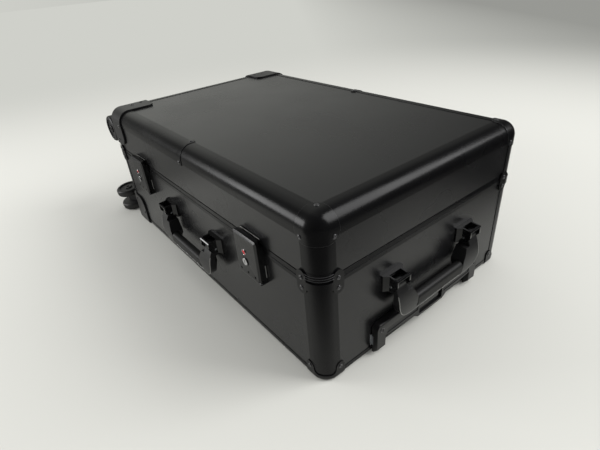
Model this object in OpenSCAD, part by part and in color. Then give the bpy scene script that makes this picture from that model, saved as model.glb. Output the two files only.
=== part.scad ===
// Aluminium-framed trolley case on four twin-wheel casters, stored lying on its back face.
// X runs along the case from the wheel end (-X) to the trolley-grip end (+X).
// Y runs across it from the latch side (-Y) to the hinge side (+Y). Z is up, through the lid.
// The origin is the middle of the base panel's outer face, which the case lies on.

/* [Case] */
// Length of the case over its edge rails
case_l = 600; // [520:5:700]
// Width of the case over its edge rails
case_w = 376; // [340:2:420]
// Height of the base, from the face it lies on to the parting line
base_h = 156.6; // [146:0.2:180]
// Height of the lid above the parting line
lid_h = 72.6; // [68:0.2:90]
// Gap between the base and the closed lid
parting_gap = 0.8; // [0.6:0.1:1.2]
// Thickness of the wall, floor and top panels
panel_t = 4; // [3:0.5:5]
// Gap between a panel's edge and the rail that holds it
panel_fit = 0.3; // [0.2:0.1:0.5]
// Thickness of the padded lining
lining_t = 3; // [2:0.5:4]

/* [Edge profiles] */
// Outer radius of the lid's edges and of all upright corners
edge_r = 20; // [18:0.5:24]
// Outer radius of the base's bottom edge
foot_r = 6; // [5:0.5:7]
// Wall of the round part of a rail or post
profile_t = 1.8; // [1.4:0.2:2.4]
// Thickness of the rails' lips over the panels
lip_t = 0.6; // [0.5:0.1:0.8]
// Reach of the rails' lips over the panels
lip_l = 6; // [5:0.5:8]
// Place of the butt seam in the lid's long rails, from the middle
seam_x = 2; // [-20:1:20]
// Gap of that seam
seam_gap = 0.4; // [0.3:0.1:0.6]

/* [Closure] */
// Height of the closure frame's outer face above the ridge
closure_h = 6.6; // [6:0.2:8]
// Height of the ridge on the closure frame
ridge_h = 3; // [2:0.5:4]
// How far the ridge stands out
ridge_out = 0.6; // [0.4:0.1:0.8]
// Depth of the closure frame, from its face inwards
closure_w = 8; // [7.5:0.5:10]
// Height of the tongue above the parting line
tongue_h = 6; // [4:0.5:7]
// Thickness of the tongue
tongue_t = 1.6; // [1.2:0.2:2]
// Gap between the tongue and the lid's walls
tongue_fit = 0.6; // [0.5:0.1:0.8]
// How far the lid's corner posts dip below the parting line
post_dip = 5; // [4:0.5:6]

/* [Corners] */
// Thickness of the metal ball corners
ball_t = 1; // [0.8:0.1:1.4]
// Reach of the ball corners from the case's faces
ball_reach = 32; // [30:1:36]
// Thickness of the corner brackets
bracket_t = 1.2; // [1:0.1:1.6]
// Distance of the brackets' rivets from the corner
bracket_rivet = 26.4; // [26:0.2:28]
// Width of a bracket's ears
bracket_ear_w = 15.5; // [12:0.5:17]
// How far a bracket's ears reach above the parting line
bracket_rise = 6.4; // [5.8:0.2:7]
// Depth of a bracket's upper rivet below the parting line
bracket_rivet_drop = 3; // [2.6:0.2:3.4]
// Distance between the two rivets of a bracket's ear
bracket_rivet_gap = 13.6; // [12:0.2:15]
// Width of the band that joins a bracket's ears
band_w = 11; // [9:0.5:14]
// Distance of the band's middle below the parting line
band_drop = 11; // [10:0.2:13]
// How far the plastic wheel guards stand out
guard_t = 2.5; // [2:0.25:3.5]
// Reach of the wheel guards along the case
guard_x = 59; // [56:1:66]
// Reach of the wheel guards across the case
guard_y = 70; // [64:1:76]
// Height of the lid's wheel guards
lid_guard_h = 62; // [58:1:64]
// Height of the base's wheel guards
base_guard_h = 57; // [54:1:64]
// Radius of the rivet heads
rivet_r = 2.6; // [2:0.2:3]
// Height of the rivet heads
rivet_h = 0.9; // [0.6:0.1:1.2]

/* [Hinge] */
// Distance of each hinge from the middle
hinge_x = 190; // [150:5:220]
// Length of a hinge
hinge_l = 60; // [45:1:80]
// Height of a hinge leaf
leaf_h = 26; // [20:1:32]
// Thickness of a hinge leaf
leaf_t = 1.4; // [1.2:0.1:1.8]
// Radius of the hinge knuckles
knuckle_r = 3; // [2.8:0.1:3.2]
// Radius of the hinge pin
hinge_pin_r = 1.5; // [1.2:0.1:1.8]
// Distance of the hinge pin from the case's back face
hinge_out = 4; // [3.9:0.1:5]
// Running clearance round pins and shafts
run_fit = 0.05; // [0.03:0.01:0.08]
// Clearance round pins that are pressed home
pin_fit = 0.02; // [0.01:0.01:0.03]

/* [Latches] */
// Distance of each latch from the middle
latch_x = 176; // [150:2:210]
// Width of a latch
latch_w = 51; // [50:1:60]
// Width of the bevel round a latch cover's face
latch_bevel = 3.5; // [2:0.5:5]
// Height of a latch's bottom end above the parting line, downwards
latch_drop = 54; // [50:1:60]
// How far the latch cover reaches above the parting line
latch_rise = 8.4; // [8:0.2:10]
// How far a closed latch stands out
latch_out = 11; // [10.5:0.5:13]
// Thickness of the latch's fixed body
latch_body_t = 5.2; // [5:0.2:6]
// Radius of the latch's pivot pin
latch_pin_r = 1; // [0.8:0.1:1.2]
// Depth of the keyholes below the parting line
key_drop = 30.6; // [29:0.2:32]
// Radius of the key cylinder
key_r = 5; // [4:0.5:6]
// Radius of the number dials
dial_r = 3.6; // [3.2:0.1:3.8]
// Width of a number dial
dial_w = 6; // [5:0.5:8]
// Distance between the dials
dial_pitch = 15.5; // [14:0.5:16.5]

/* [Carry handles] */
// Distance between the outer sides of a carry handle's hoods
handle_l = 172; // [150:2:190]
// Width of a hood at its front
hood_w = 24; // [23:0.5:28]
// How far a hood stands out
hood_out = 19.5; // [18:0.5:22]
// Height of a hood's top above the face the case lies on
hood_z = 113; // [110:1:125]
// Wall of a hood
hood_wall = 2.2; // [2:0.1:2.6]
// Radius of a carry handle's pivot pins
handle_pin_r = 2; // [1.6:0.1:2.4]
// Drop from the hood's top to the bottom of the handle's bar
handle_drop = 62.3; // [60:0.5:68]
// Radius of the round outer corners of a carry handle
elbow_r = 25; // [18:0.5:28]
// Thickness of the rim under a handle's soft sleeve
rim_t = 2; // [1.5:0.1:2.5]
// Height of the soft sleeve on the handle's bar
bar_h = 20; // [18:0.5:21]
// Thickness of the handle's bar
bar_t = 13; // [12:0.5:15]

/* [Trolley] */
// Distance between the trolley's tubes, centre to centre
tube_pitch = 200; // [170:5:220]
// Outer size of the fixed square tubes
tube_w = 18; // [17:0.5:20]
// Wall of the tubes
tube_t = 1.2; // [1:0.1:1.5]
// Gap round the sliding tubes
tube_fit = 0.2; // [0.2:0.05:0.3]
// Height of the tubes' centres above the face the case lies on
tube_z = 20.5; // [20:0.5:24]
// Distance of the fixed tubes' blind ends from the case's wheel end
tube_back = 54.4; // [45:0.2:80]
// Distance of the sliding tubes' inner ends from the fixed tubes' blind ends
tube_stay = 20; // [10:5:40]
// Height of the trolley grip's top above the face the case lies on
grip_z = 48.5; // [46:0.5:49]
// Height of the trolley grip's bar
grip_h = 33.5; // [32:0.5:36]
// Height of the cut-outs for the fingers beside the grip's push button
grip_arch = 6.5; // [4:0.5:7]
// Width of the trolley grip's legs
grip_leg_w = 15; // [14:0.5:17]
// Depth of the trolley grip
grip_t = 9.4; // [9:0.2:11]
// Width of the push button
button_w = 44; // [36:1:52]
// Travel of the push button
button_travel = 2.3; // [2:0.1:2.5]

/* [Casters] */
// Distance of a caster's swivel axis from the case's faces
caster_inset = 29; // [28:1:34]
// Trail of a caster
caster_trail = 23; // [20:1:24]
// Outer radius of a wheel
wheel_r = 25.5; // [24:0.5:26]
// Width of a wheel
wheel_w = 14; // [12:0.5:15]
// Distance between a caster's two wheels, centre to centre
wheel_pitch = 32; // [30:0.5:34]
// Distance of a wheel's axle from the case's end
axle_out = 46; // [45:0.5:50]
// Height of the swivel pad on a wheel guard
pad_h = 5.5; // [5:0.5:7]
// Radius of an axle
axle_r = 3; // [2.5:0.5:4]
// Tilt at which the base's casters lie against the floor
caster_tilt = 7; // [6:0.5:9]

/* [Hidden] */
$fn = 48;

// colours
satin_black = "#2b2b2d";
anodised_black = "#3a3a3c";
gloss_black = "#151516";
plastic_black = "#242425";
rubber_black = "#1b1b1b";
lining_grey = "#35353a";
steel = "#b9bcc0";

// levels
lid_z = base_h + parting_gap;
top_z = lid_z + lid_h;
ridge_top = base_h - closure_h;
ridge_z = ridge_top - ridge_h;
closure_lip_z = ridge_z - 3;
hinge_z = base_h + parting_gap / 2;
hinge_y = case_w / 2 + hinge_out;
panel_in = lip_t + panel_t;
// heights of the two rivets of a bracket's ear, and the ear's ends
rivet_hi = base_h - bracket_rivet_drop;
rivet_lo = rivet_hi - bracket_rivet_gap;
ear_top = base_h + bracket_rise;
ear_end = rivet_lo - bracket_ear_w / 2;
// the tubes' sizes and ends
inner_w = tube_w - 2 * tube_t - 2 * tube_fit;
tube_end = case_l / 2 - lip_t;
tube_start = tube_back - case_l / 2;
deck_z = tube_z + tube_w / 2 + 3;
// the grip's back stands just off the case's end
grip_gap = 0.6;
grip_x = case_l / 2 + grip_gap;

module both_x() { children(); mirror([1, 0, 0]) children(); }
module both_y() { children(); mirror([0, 1, 0]) children(); }
module four_corners() { both_x() both_y() children(); }
// a section whose first axis is Y and second is Z, drawn out along X
module along_x(l) { translate([-l / 2, 0, 0]) rotate([90, 0, 90]) linear_extrude(l) children(); }
// a section whose first axis is X and second is Z, drawn out along Y
module along_y(l) { translate([0, l / 2, 0]) rotate([90, 0, 0]) linear_extrude(l) children(); }

// rectangle centred on the origin with round corners
module round_rect(l, w, r) {
  square([l - 2 * r, w], center = true);
  square([l, w - 2 * r], center = true);
  for (x = [-1, 1], y = [-1, 1]) translate([x * (l / 2 - r), y * (w / 2 - r)]) circle(r);
}
// closed ring that follows the case's outline, from one inset to another
module case_ring(inset_out, inset_in) {
  difference() {
    round_rect(case_l - 2 * inset_out, case_w - 2 * inset_out, edge_r - inset_out);
    round_rect(case_l - 2 * inset_in, case_w - 2 * inset_in, edge_r - inset_in);
  }
}
module case_ring_solid(inset_out, inset_in, z0, z1) {
  translate([0, 0, z0]) linear_extrude(z1 - z0) case_ring(inset_out, inset_in);
}

// ---- corner pieces, drawn with the case's corner at the origin and the case towards +X +Y +Z
// half section of a rounded corner: bottom edge of radius rb, grown outwards by g
module corner_half(rb, g, h) {
  translate([0, rb]) square([edge_r + g, h - rb]);
  intersection() {
    translate([edge_r - rb, rb]) circle(rb + g);
    translate([0, -g]) square([edge_r + g, rb + g]);
  }
  if (rb < edge_r) translate([0, -g]) square([edge_r - rb, rb + g]);
}
module corner_solid(rb, g, lx, ly, lz) {
  translate([edge_r, edge_r, 0]) {
    rotate_extrude() corner_half(rb, g, lz);
    rotate([90, 0, 90]) linear_extrude(lx - edge_r) mirror([1, 0]) corner_half(rb, g, lz);
    rotate([90, 0, 180]) linear_extrude(ly - edge_r) corner_half(rb, g, lz);
    translate([0, 0, -g]) cube([lx - edge_r, ly - edge_r, lz + g]);
  }
}
// rectangle from behind the corner to (a, b), with its far corner rounded by c
module mask_rect(a, b, c, back) {
  translate([-back, -back]) square([a + back, b - c + back]);
  translate([-back, -back]) square([a - c + back, b + back]);
  translate([a - c, b - c]) circle(c);
}
// what limits a corner piece: one outline seen along each axis
module corner_mask(lx, ly, lz, c_top, c_side, back) {
  intersection() {
    translate([0, 0, -back]) linear_extrude(lz + back) mask_rect(lx, ly, c_top, back);
    translate([0, ly, 0]) rotate([90, 0, 0]) linear_extrude(ly + back) mask_rect(lx, lz, c_side, back);
    translate([-back, 0, 0]) rotate([90, 0, 90]) linear_extrude(lx + back)
      mask_rect(ly, lz, c_side, back);
  }
}
corner_fit = 0.05;
module corner_cap(rb, t, lx, ly, lz, c_top, c_side) {
  intersection() {
    difference() {
      corner_solid(rb, t, lx + 1, ly + 1, lz + 1);
      corner_solid(rb, corner_fit, lx + 2, ly + 2, lz + 2);
    }
    corner_mask(lx, ly, lz, c_top, c_side, 2 * t);
  }
}
module at_base_corner() { translate([-case_l / 2, -case_w / 2, 0]) children(); }
module at_lid_corner() { translate([-case_l / 2, -case_w / 2, top_z]) mirror([0, 0, 1]) children(); }
// domed rivet head standing along +Z on the plane z = 0
module rivet() {
  ball = (rivet_r * rivet_r + rivet_h * rivet_h) / (2 * rivet_h);
  intersection() {
    translate([0, 0, rivet_h - ball]) sphere(ball);
    cylinder(r = rivet_r + 1, h = rivet_h);
  }
}
// the same head on a front face (towards -Y), on an end face (towards -X) and on the top
module rivet_front(x, y, z) { translate([x, y, z]) rotate([90, 0, 0]) rivet(); }
module rivet_end(x, y, z) { translate([x, y, z]) rotate([0, -90, 0]) rivet(); }

// ================= base =================
floor_l = case_l - 2 * (foot_r + panel_fit);
floor_w = case_w - 2 * (foot_r + panel_fit);
module base_floor_panel() {
  color(satin_black) linear_extrude(panel_t) round_rect(floor_l, floor_w, edge_r - foot_r - panel_fit);
}

wall_l = case_l - 2 * (edge_r + panel_fit);
wall_w = case_w - 2 * (edge_r + panel_fit);
module tube_holes(w) {
  both_y() translate([0, tube_pitch / 2, tube_z]) cube([case_l * 2, w, w], center = true);
}
module base_wall_panels() {
  z0 = foot_r + panel_fit;
  h = ridge_z - panel_fit + 1 - z0;
  color(satin_black) {
    both_y() translate([-wall_l / 2, -case_w / 2 + lip_t, z0]) cube([wall_l, panel_t, h]);
    translate([-case_l / 2 + lip_t, -wall_w / 2, z0]) cube([panel_t, wall_w, h]);
    difference() {
      translate([case_l / 2 - panel_in, -wall_w / 2, z0]) cube([panel_t, wall_w, h]);
      translate([case_l, 0, 0]) tube_holes(tube_w + 2 * panel_fit);
    }
  }
}

rail_side_h = 4.5;
rail_flange = 8;
rail_flange_t = 1.4;
module bottom_rail_section() {
  intersection() {
    translate([foot_r, foot_r]) circle(foot_r);
    square(foot_r);
  }
  translate([foot_r, panel_t]) square([rail_flange, rail_flange_t]);
  translate([0, foot_r]) square([lip_t, rail_side_h]);
}
module base_bottom_rail() {
  color(anodised_black) {
    both_y() along_x(case_l - 2 * edge_r) translate([-case_w / 2, 0]) bottom_rail_section();
    both_x() along_y(case_w - 2 * edge_r) translate([-case_l / 2, 0]) bottom_rail_section();
    four_corners() translate([-case_l / 2 + edge_r, -case_w / 2 + edge_r, 0]) rotate([0, 0, 180])
      rotate_extrude(angle = 90) translate([edge_r, 0]) mirror([1, 0]) bottom_rail_section();
  }
}

// plan of an upright corner post: a quarter ring and two lips, with the corner at the origin
module quarter_ring(r, t) {
  translate([r, r]) intersection() {
    difference() { circle(r); circle(r - t); }
    translate([-r, -r]) square(r);
  }
}
module post_lips() {
  translate([edge_r, 0]) square([lip_l, lip_t]);
  translate([0, edge_r]) square([lip_t, lip_l]);
}
post_z = foot_r + rail_side_h + panel_fit;
module base_corner_posts() {
  h = closure_lip_z - panel_fit - post_z;
  color(anodised_black) four_corners() at_base_corner() translate([0, 0, post_z]) linear_extrude(h) {
    quarter_ring(edge_r, profile_t);
    post_lips();
  }
}

web_t = 2.2;
web_drop = 8;
notch_l = edge_r + 1;
notch_depth = 4.4;
module base_closure_frame() {
  color(anodised_black) difference() {
    union() {
      case_ring_solid(0, closure_w, ridge_top, base_h);
      case_ring_solid(-ridge_out, closure_w, ridge_z + 1, ridge_top);
      case_ring_solid(-ridge_out, lip_t, ridge_z, ridge_z + 1);
      case_ring_solid(0, lip_t, closure_lip_z, ridge_z);
      case_ring_solid(panel_in, panel_in + web_t, ridge_z - web_drop, ridge_z + 1);
      case_ring_solid(panel_in + tongue_fit, panel_in + tongue_fit + tongue_t, base_h - 1,
                      base_h + tongue_h);
    }
    // notches that take the dips of the lid's corner posts
    four_corners() at_base_corner() translate([0, 0, lid_z - post_dip - parting_gap])
      linear_extrude(post_dip + parting_gap) difference() {
        translate([-1, -1]) square(notch_l + 1);
        translate([edge_r, edge_r]) circle(edge_r - notch_depth);
        translate([edge_r, notch_depth]) square(edge_r);
        translate([notch_depth, edge_r]) square(edge_r);
      }
  }
}

ball_c = 14;
// side view of a base corner: low at the corner itself, with an ear round each rivet
foot_low = 9;
foot_ear_r = 6.6;
foot_rivet = ball_reach - foot_ear_r;
foot_rivet_z = 17.4;
foot_sweep = 8;
module foot_view() {
  inner = foot_rivet - foot_ear_r;
  translate([-5, 0]) square([5 + inner, foot_low]);
  translate([inner, 0]) square([2 * foot_ear_r, foot_rivet_z]);
  translate([foot_rivet, foot_rivet_z]) circle(foot_ear_r);
  difference() {
    translate([inner - foot_sweep, foot_low - 1]) square([foot_sweep, foot_sweep + 1]);
    translate([inner - foot_sweep, foot_low + foot_sweep]) circle(foot_sweep);
  }
}
module base_ball_corners() {
  color(anodised_black) mirror([1, 0, 0]) both_y() at_base_corner() intersection() {
    corner_cap(foot_r, ball_t, ball_reach, ball_reach, 2 * ball_reach, ball_c, 1);
    union() {
      translate([0, ball_reach, 0]) rotate([90, 0, 0]) linear_extrude(ball_reach + 5) foot_view();
      translate([-5, 0, 0]) rotate([90, 0, 90]) linear_extrude(ball_reach + 5) foot_view();
    }
  }
}

// round pad on the case's end that carries a caster, with the bore for its king pin
pad_r = 19;
king_r = 4;
king_l = 6;
module caster_pad() {
  rotate([0, -90, 0]) cylinder(r = pad_r, h = guard_t + pad_h);
}
module king_bore() {
  translate([-guard_t - pad_h - 1, 0, 0]) rotate([0, 90, 0]) cylinder(r = king_r + run_fit, h = king_l + 1.5);
}
guard_c_top = 12;
guard_c_side = 20;
module wheel_guard(rb, h) {
  difference() {
    union() {
      corner_cap(rb, guard_t, guard_x, guard_y, h, guard_c_top, guard_c_side);
      translate([-corner_fit, caster_inset, caster_inset]) caster_pad();
    }
    translate([0, caster_inset, caster_inset]) king_bore();
  }
}
module base_wheel_guards() {
  color(plastic_black) both_y() at_base_corner() intersection() {
    wheel_guard(foot_r, base_guard_h);
    translate([-guard_x, -guard_y, 0]) cube([2 * guard_x, 2 * guard_y, 2 * base_guard_h]);
  }
}

// plan of a bracket or guard that wraps an upright corner, from one offset to another
module corner_wrap(g0, g1, reach) {
  translate([edge_r, edge_r]) {
    intersection() {
      difference() { circle(edge_r + g1); circle(edge_r + g0); }
      translate([-2 * edge_r, -2 * edge_r]) square(2 * edge_r);
    }
    translate([0, -edge_r - g1]) square([reach - edge_r, g1 - g0]);
    translate([-edge_r - g1, 0]) square([g1 - g0, reach - edge_r]);
  }
}
// side view of a bracket: two eared plates joined by a band round the corner
ear_x = bracket_rivet - bracket_ear_w / 2;
band_lo = base_h - band_drop - band_w / 2;
module ear_view(top) {
  r = bracket_ear_w / 2;
  translate([ear_x, ear_end + r]) square([bracket_ear_w, top - ear_end - 2 * r]);
  translate([bracket_rivet, ear_end + r]) circle(r);
  translate([bracket_rivet, top - r]) circle(r);
  translate([-5, band_lo]) square([bracket_rivet + 5, band_w]);
}
module corner_bracket(back) {
  g0 = ridge_out + 0.1;
  g1 = g0 + bracket_t;
  intersection() {
    translate([0, 0, ear_end - 1]) linear_extrude(ear_top - ear_end + 2)
      corner_wrap(g0, g1, 2 * bracket_rivet);
    union() {
      // the front or back face
      translate([0, edge_r, 0]) rotate([90, 0, 0]) linear_extrude(edge_r + 5) difference() {
        ear_view(ear_top);
        if (back) translate([-bracket_rivet, base_h]) square([3 * bracket_rivet, bracket_ear_w]);
      }
      // the end face
      translate([-5, 0, 0]) rotate([90, 0, 90]) linear_extrude(edge_r + 5) ear_view(ear_top);
    }
  }
}
module base_corner_brackets() {
  color(anodised_black) both_x() {
    at_base_corner() corner_bracket(false);
    mirror([0, 1, 0]) at_base_corner() corner_bracket(true);
  }
}

module base_lining() {
  l = case_l - 2 * panel_in;
  w = case_w - 2 * panel_in;
  r = edge_r - panel_in;
  g = panel_fit;
  t = lining_t;
  top = ridge_z - web_drop - panel_fit;
  color(lining_grey) difference() {
    translate([0, 0, deck_z]) linear_extrude(top - deck_z) round_rect(l - 2 * g, w - 2 * g, r - g);
    translate([0, 0, deck_z + t]) linear_extrude(top)
      round_rect(l - 2 * g - 2 * t, w - 2 * g - 2 * t, r - g - t);
  }
}

// rivets of the wheel guards, by their distance from the guards' edges
guard_edge = 9;
guard_rivet = 24;
hinge_rivet_gap = 20;
module base_rivets() {
  out = ridge_out + 0.1 + bracket_t;
  color(gloss_black) {
    for (z = [rivet_hi, rivet_lo]) four_corners() {
      rivet_front(-case_l / 2 + bracket_rivet, -case_w / 2 - out, z);
      rivet_end(-case_l / 2 - out, -case_w / 2 + bracket_rivet, z);
    }
    mirror([1, 0, 0]) both_y() {
      rivet_front(-case_l / 2 + foot_rivet, -case_w / 2 - ball_t, foot_rivet_z);
      rivet_end(-case_l / 2 - ball_t, -case_w / 2 + foot_rivet, foot_rivet_z);
    }
    both_y() for (p = [[guard_rivet, base_guard_h - guard_edge], [guard_x - guard_edge, guard_rivet]])
      rivet_front(-case_l / 2 + p[0], -case_w / 2 - guard_t, p[1]);
    both_y() rivet_end(-case_l / 2 - guard_t, -case_w / 2 + guard_y - guard_edge, edge_r);
    // hinge rivets
    both_x() for (x = [-1, 0, 1] * hinge_rivet_gap, z = [8, 18])
      mirror([0, 1, 0]) rivet_front(hinge_x + x, -case_w / 2 - ridge_out - leaf_t, hinge_z - z);
  }
}

// ---- trolley
module square_tube(x0, x1, w, t) {
  both_y() translate([x0, tube_pitch / 2, tube_z]) difference() {
    translate([0, -w / 2, -w / 2]) cube([x1 - x0, w, w]);
    translate([-1, -w / 2 + t, -w / 2 + t]) cube([x1 - x0 + 2, w - 2 * t, w - 2 * t]);
  }
}
module trolley_outer_tubes() {
  color(steel) square_tube(tube_start, tube_end, tube_w, tube_t);
}
clamp_t = 8;
module trolley_brackets() {
  w = tube_pitch + tube_w + 14;
  color(plastic_black) {
    difference() {
      translate([case_l / 2 - panel_in - clamp_t, -w / 2, panel_t]) cube([clamp_t, w, deck_z - panel_t]);
      translate([case_l, 0, 0]) tube_holes(tube_w);
      // room for the bottom rail
      translate([case_l / 2 - foot_r - rail_flange - 1, -w, 0]) cube([case_l, 2 * w, foot_r + panel_fit]);
    }
    difference() {
      translate([tube_start - 3, -w / 2, panel_t]) cube([clamp_t * 2, w, deck_z - panel_t]);
      translate([tube_start + case_l, 0, 0]) tube_holes(tube_w);
    }
  }
}

// ---- hinges, drawn in the base's frame
module knuckle(x, l) {
  translate([x, hinge_y, hinge_z]) rotate([0, 90, 0]) cylinder(r = knuckle_r, h = l);
}
third = hinge_l / 3;
knuckle_gap = 0.3;
side_l = third - knuckle_gap / 2;
module leaf(dir, y0, parts) {
  for (p = parts) {
    knuckle(p[0], p[1]);
    // the tab that joins the knuckle to the leaf
    translate([p[0], y0, min(hinge_z, hinge_z + dir * 6)]) cube([p[1], hinge_y - knuckle_r + 0.9 - y0, 6]);
  }
  translate([-hinge_l / 2, y0, dir > 0 ? hinge_z + 4 : hinge_z - leaf_h]) cube([hinge_l, leaf_t, leaf_h - 4]);
}
module hinge_bore() {
  translate([-hinge_l, hinge_y, hinge_z]) rotate([0, 90, 0])
    cylinder(r = hinge_pin_r + run_fit, h = 2 * hinge_l);
}
module hinge_base_leaves() {
  y0 = case_w / 2 + ridge_out;
  color(anodised_black) for (s = [-1, 1]) translate([s * hinge_x, 0, 0]) difference() {
    leaf(-1, y0, [[-hinge_l / 2, side_l], [hinge_l / 2 - side_l, side_l]]);
    hinge_bore();
  }
}
module hinge_lid_leaves() {
  y0 = case_w / 2 - lip_t;
  color(anodised_black) for (s = [-1, 1]) translate([s * hinge_x, 0, 0]) difference() {
    leaf(1, y0, [[-third / 2 + knuckle_gap / 2, third - knuckle_gap]]);
    hinge_bore();
  }
}
module hinge_pins() {
  color(steel) for (s = [-1, 1]) translate([s * hinge_x - hinge_l / 2, hinge_y, hinge_z])
    rotate([0, 90, 0]) cylinder(r = hinge_pin_r, h = hinge_l);
}

// ---- latches: x across the latch, y outwards from the case's front face, z up
latch_lo = base_h - latch_drop;
latch_hi = base_h + latch_rise;
latch_fit = 0.3;
pivot_r = 2;
pivot_y = latch_out - pivot_r;
pivot_z = latch_lo + pivot_r;
ear_w = 3;
dial_y = 3.2;
dial_z = latch_lo + 1.9;
module at_latch(s) { translate([s * latch_x, -case_w / 2, 0]) mirror([0, 1, 0]) children(); }
module latch_body() {
  difference() {
    union() {
      translate([-latch_w / 2, -lip_t, latch_lo]) cube([latch_w, latch_body_t + lip_t, base_h - latch_lo]);
      both_x() translate([latch_w / 2 - ear_w, 0, latch_lo]) {
        cube([ear_w, pivot_y, 2 * pivot_r]);
        translate([0, pivot_y, pivot_r]) rotate([0, 90, 0]) cylinder(r = pivot_r, h = ear_w);
      }
    }
    // room for the closure frame and its ridge
    translate([-latch_w, -5, closure_lip_z]) cube([2 * latch_w, 5 + ridge_out + 0.1, latch_drop]);
    // pockets of the dials
    for (i = [-1, 0, 1]) translate([i * dial_pitch - dial_w / 2 - 0.3, 0, 0]) {
      translate([0, dial_y, dial_z]) rotate([0, 90, 0]) cylinder(r = dial_r + 0.3, h = dial_w + 0.6);
      translate([0, dial_y - dial_r - 0.3, latch_lo - 5]) cube([dial_w + 0.6, 20, 5 + dial_z - latch_lo]);
    }
    translate([-latch_w, pivot_y, pivot_z]) rotate([0, 90, 0])
      cylinder(r = latch_pin_r + pin_fit, h = 2 * latch_w);
  }
  // the dials' shaft
  translate([-latch_w / 2 + 1, dial_y, dial_z]) rotate([0, 90, 0])
    cylinder(r = dial_shaft_r, h = latch_w - 2);
}
dial_shaft_r = 1;
module latch_bodies() {
  color(satin_black) for (s = [-1, 1]) at_latch(s) latch_body();
}
module latch_pins() {
  color(steel) for (s = [-1, 1]) at_latch(s) translate([-latch_w / 2, pivot_y, pivot_z])
    rotate([0, 90, 0]) cylinder(r = latch_pin_r, h = latch_w);
}
key_z = base_h - key_drop;
key_in = 3;
key_out = 1.3;
module latch_cover() {
  y0 = latch_body_t + latch_fit;
  corner_round = 4;
  slab_t = latch_out - y0;
  slab_lo = latch_lo + 2 * pivot_r + latch_fit;
  side_y = latch_out - latch_bevel / 2;
  face_x = latch_w / 2 - latch_bevel;
  difference() {
    union() {
      // front slab, round at its upper corners and bevelled round its face
      intersection() {
        translate([0, latch_out, 0]) rotate([90, 0, 0]) linear_extrude(slab_t) {
          translate([-latch_w / 2, slab_lo]) square([latch_w, latch_hi - corner_round - slab_lo]);
          translate([-latch_w / 2 + corner_round, slab_lo])
            square([latch_w - 2 * corner_round, latch_hi - slab_lo]);
          for (s = [-1, 1]) translate([s * (latch_w / 2 - corner_round), latch_hi - corner_round])
            circle(corner_round);
        }
        translate([0, 0, latch_lo]) linear_extrude(latch_drop + 2 * latch_rise)
          polygon([[-latch_w / 2, 0], [latch_w / 2, 0], [latch_w / 2, side_y], [face_x, latch_out],
                   [-face_x, latch_out], [-latch_w / 2, side_y]]);
        along_x(2 * latch_w) polygon([[0, latch_lo], [latch_out, latch_lo],
                                      [latch_out, latch_hi - latch_bevel],
                                      [side_y, latch_hi], [0, latch_hi]]);
      }
      // lower end between the body's ears, round about the pivot
      translate([-latch_w / 2 + ear_w + latch_fit, 0, 0]) {
        l = latch_w - 2 * ear_w - 2 * latch_fit;
        translate([0, pivot_y, pivot_z]) rotate([0, 90, 0]) cylinder(r = pivot_r, h = l);
        translate([0, pivot_y - pivot_r, pivot_z]) cube([l, 2 * pivot_r, pivot_r + 2]);
      }
      // top return, which closes over the keeper
      translate([-latch_w / 2 + corner_round, keeper_lip + latch_fit, latch_hi - 3.6])
        cube([latch_w - 2 * corner_round, y0 + 1 - keeper_lip - latch_fit, 3.6]);
    }
    // room for the dials behind the lower end
    translate([-latch_w, -1, latch_lo - 1]) cube([2 * latch_w, 1 + dial_y + dial_r + 0.3, 9]);
    translate([-latch_w, pivot_y, pivot_z]) rotate([0, 90, 0])
      cylinder(r = latch_pin_r + run_fit, h = 2 * latch_w);
    // seat of the key cylinder
    translate([key_x, latch_out + 1, key_z]) rotate([90, 0, 0])
      cylinder(r = key_r + run_fit, h = key_in + 1 + run_fit);
  }
}
key_x = -3;
module latch_cover_1() { color(satin_black) at_latch(1) latch_cover(); }
module latch_cover_2() { color(satin_black) at_latch(-1) latch_cover(); }
module key_cylinder() {
  difference() {
    translate([key_x, latch_out + key_out, key_z]) rotate([90, 0, 0])
      cylinder(r = key_r, h = key_in + key_out);
    // keyway
    translate([key_x - 0.6, latch_out + key_out - 2, key_z - 2.6]) cube([1.2, 5, 5.2]);
  }
}
module key_cylinder_1() { color(steel) at_latch(1) key_cylinder(); }
module key_cylinder_2() { color(steel) at_latch(-1) key_cylinder(); }
module dial(s, i) {
  color(gloss_black) at_latch(s) translate([i * dial_pitch - dial_w / 2, dial_y, dial_z]) rotate([0, 90, 0])
    difference() {
      cylinder(r = dial_r, h = dial_w);
      translate([0, 0, -1]) cylinder(r = dial_shaft_r + run_fit, h = dial_w + 2);
      // finger grooves between the numbers
      for (a = [0:36:324]) rotate([0, 0, a]) translate([dial_r + 0.35, 0, -1])
        cylinder(r = 0.6, h = dial_w + 2);
    }
}
keeper_t = 1.5 - lip_t;
keeper_lip = keeper_t + 2;
module latch_keepers() {
  w = latch_w - 6;
  color(steel) for (s = [-1, 1]) at_latch(s) {
    translate([-w / 2, -lip_t, lid_z + 1]) cube([w, keeper_t + lip_t, latch_hi + 0.3 - lid_z - 1]);
    translate([-w / 4, 0, lid_z + 1]) cube([w / 2, keeper_lip, 1.6]);
  }
}

// ---- carry handles: x along the handle, y outwards from the wall, z up
pin_y = 9;
pin_drop = 12.5;
pin_z = hood_z - pin_drop;
hood_back_w = hood_w + 12;
arm_gap = 0.5;
arm_hi = handle_l / 2 - hood_wall - arm_gap;
arm_lo = handle_l / 2 - hood_w + hood_wall + arm_gap;
handle_lo = hood_z - handle_drop;
bar_z = handle_lo + rim_t + bar_h / 2;
bar_y = 16.5;
hood_h = 21;
hood_low = hood_z - hood_h;
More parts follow.
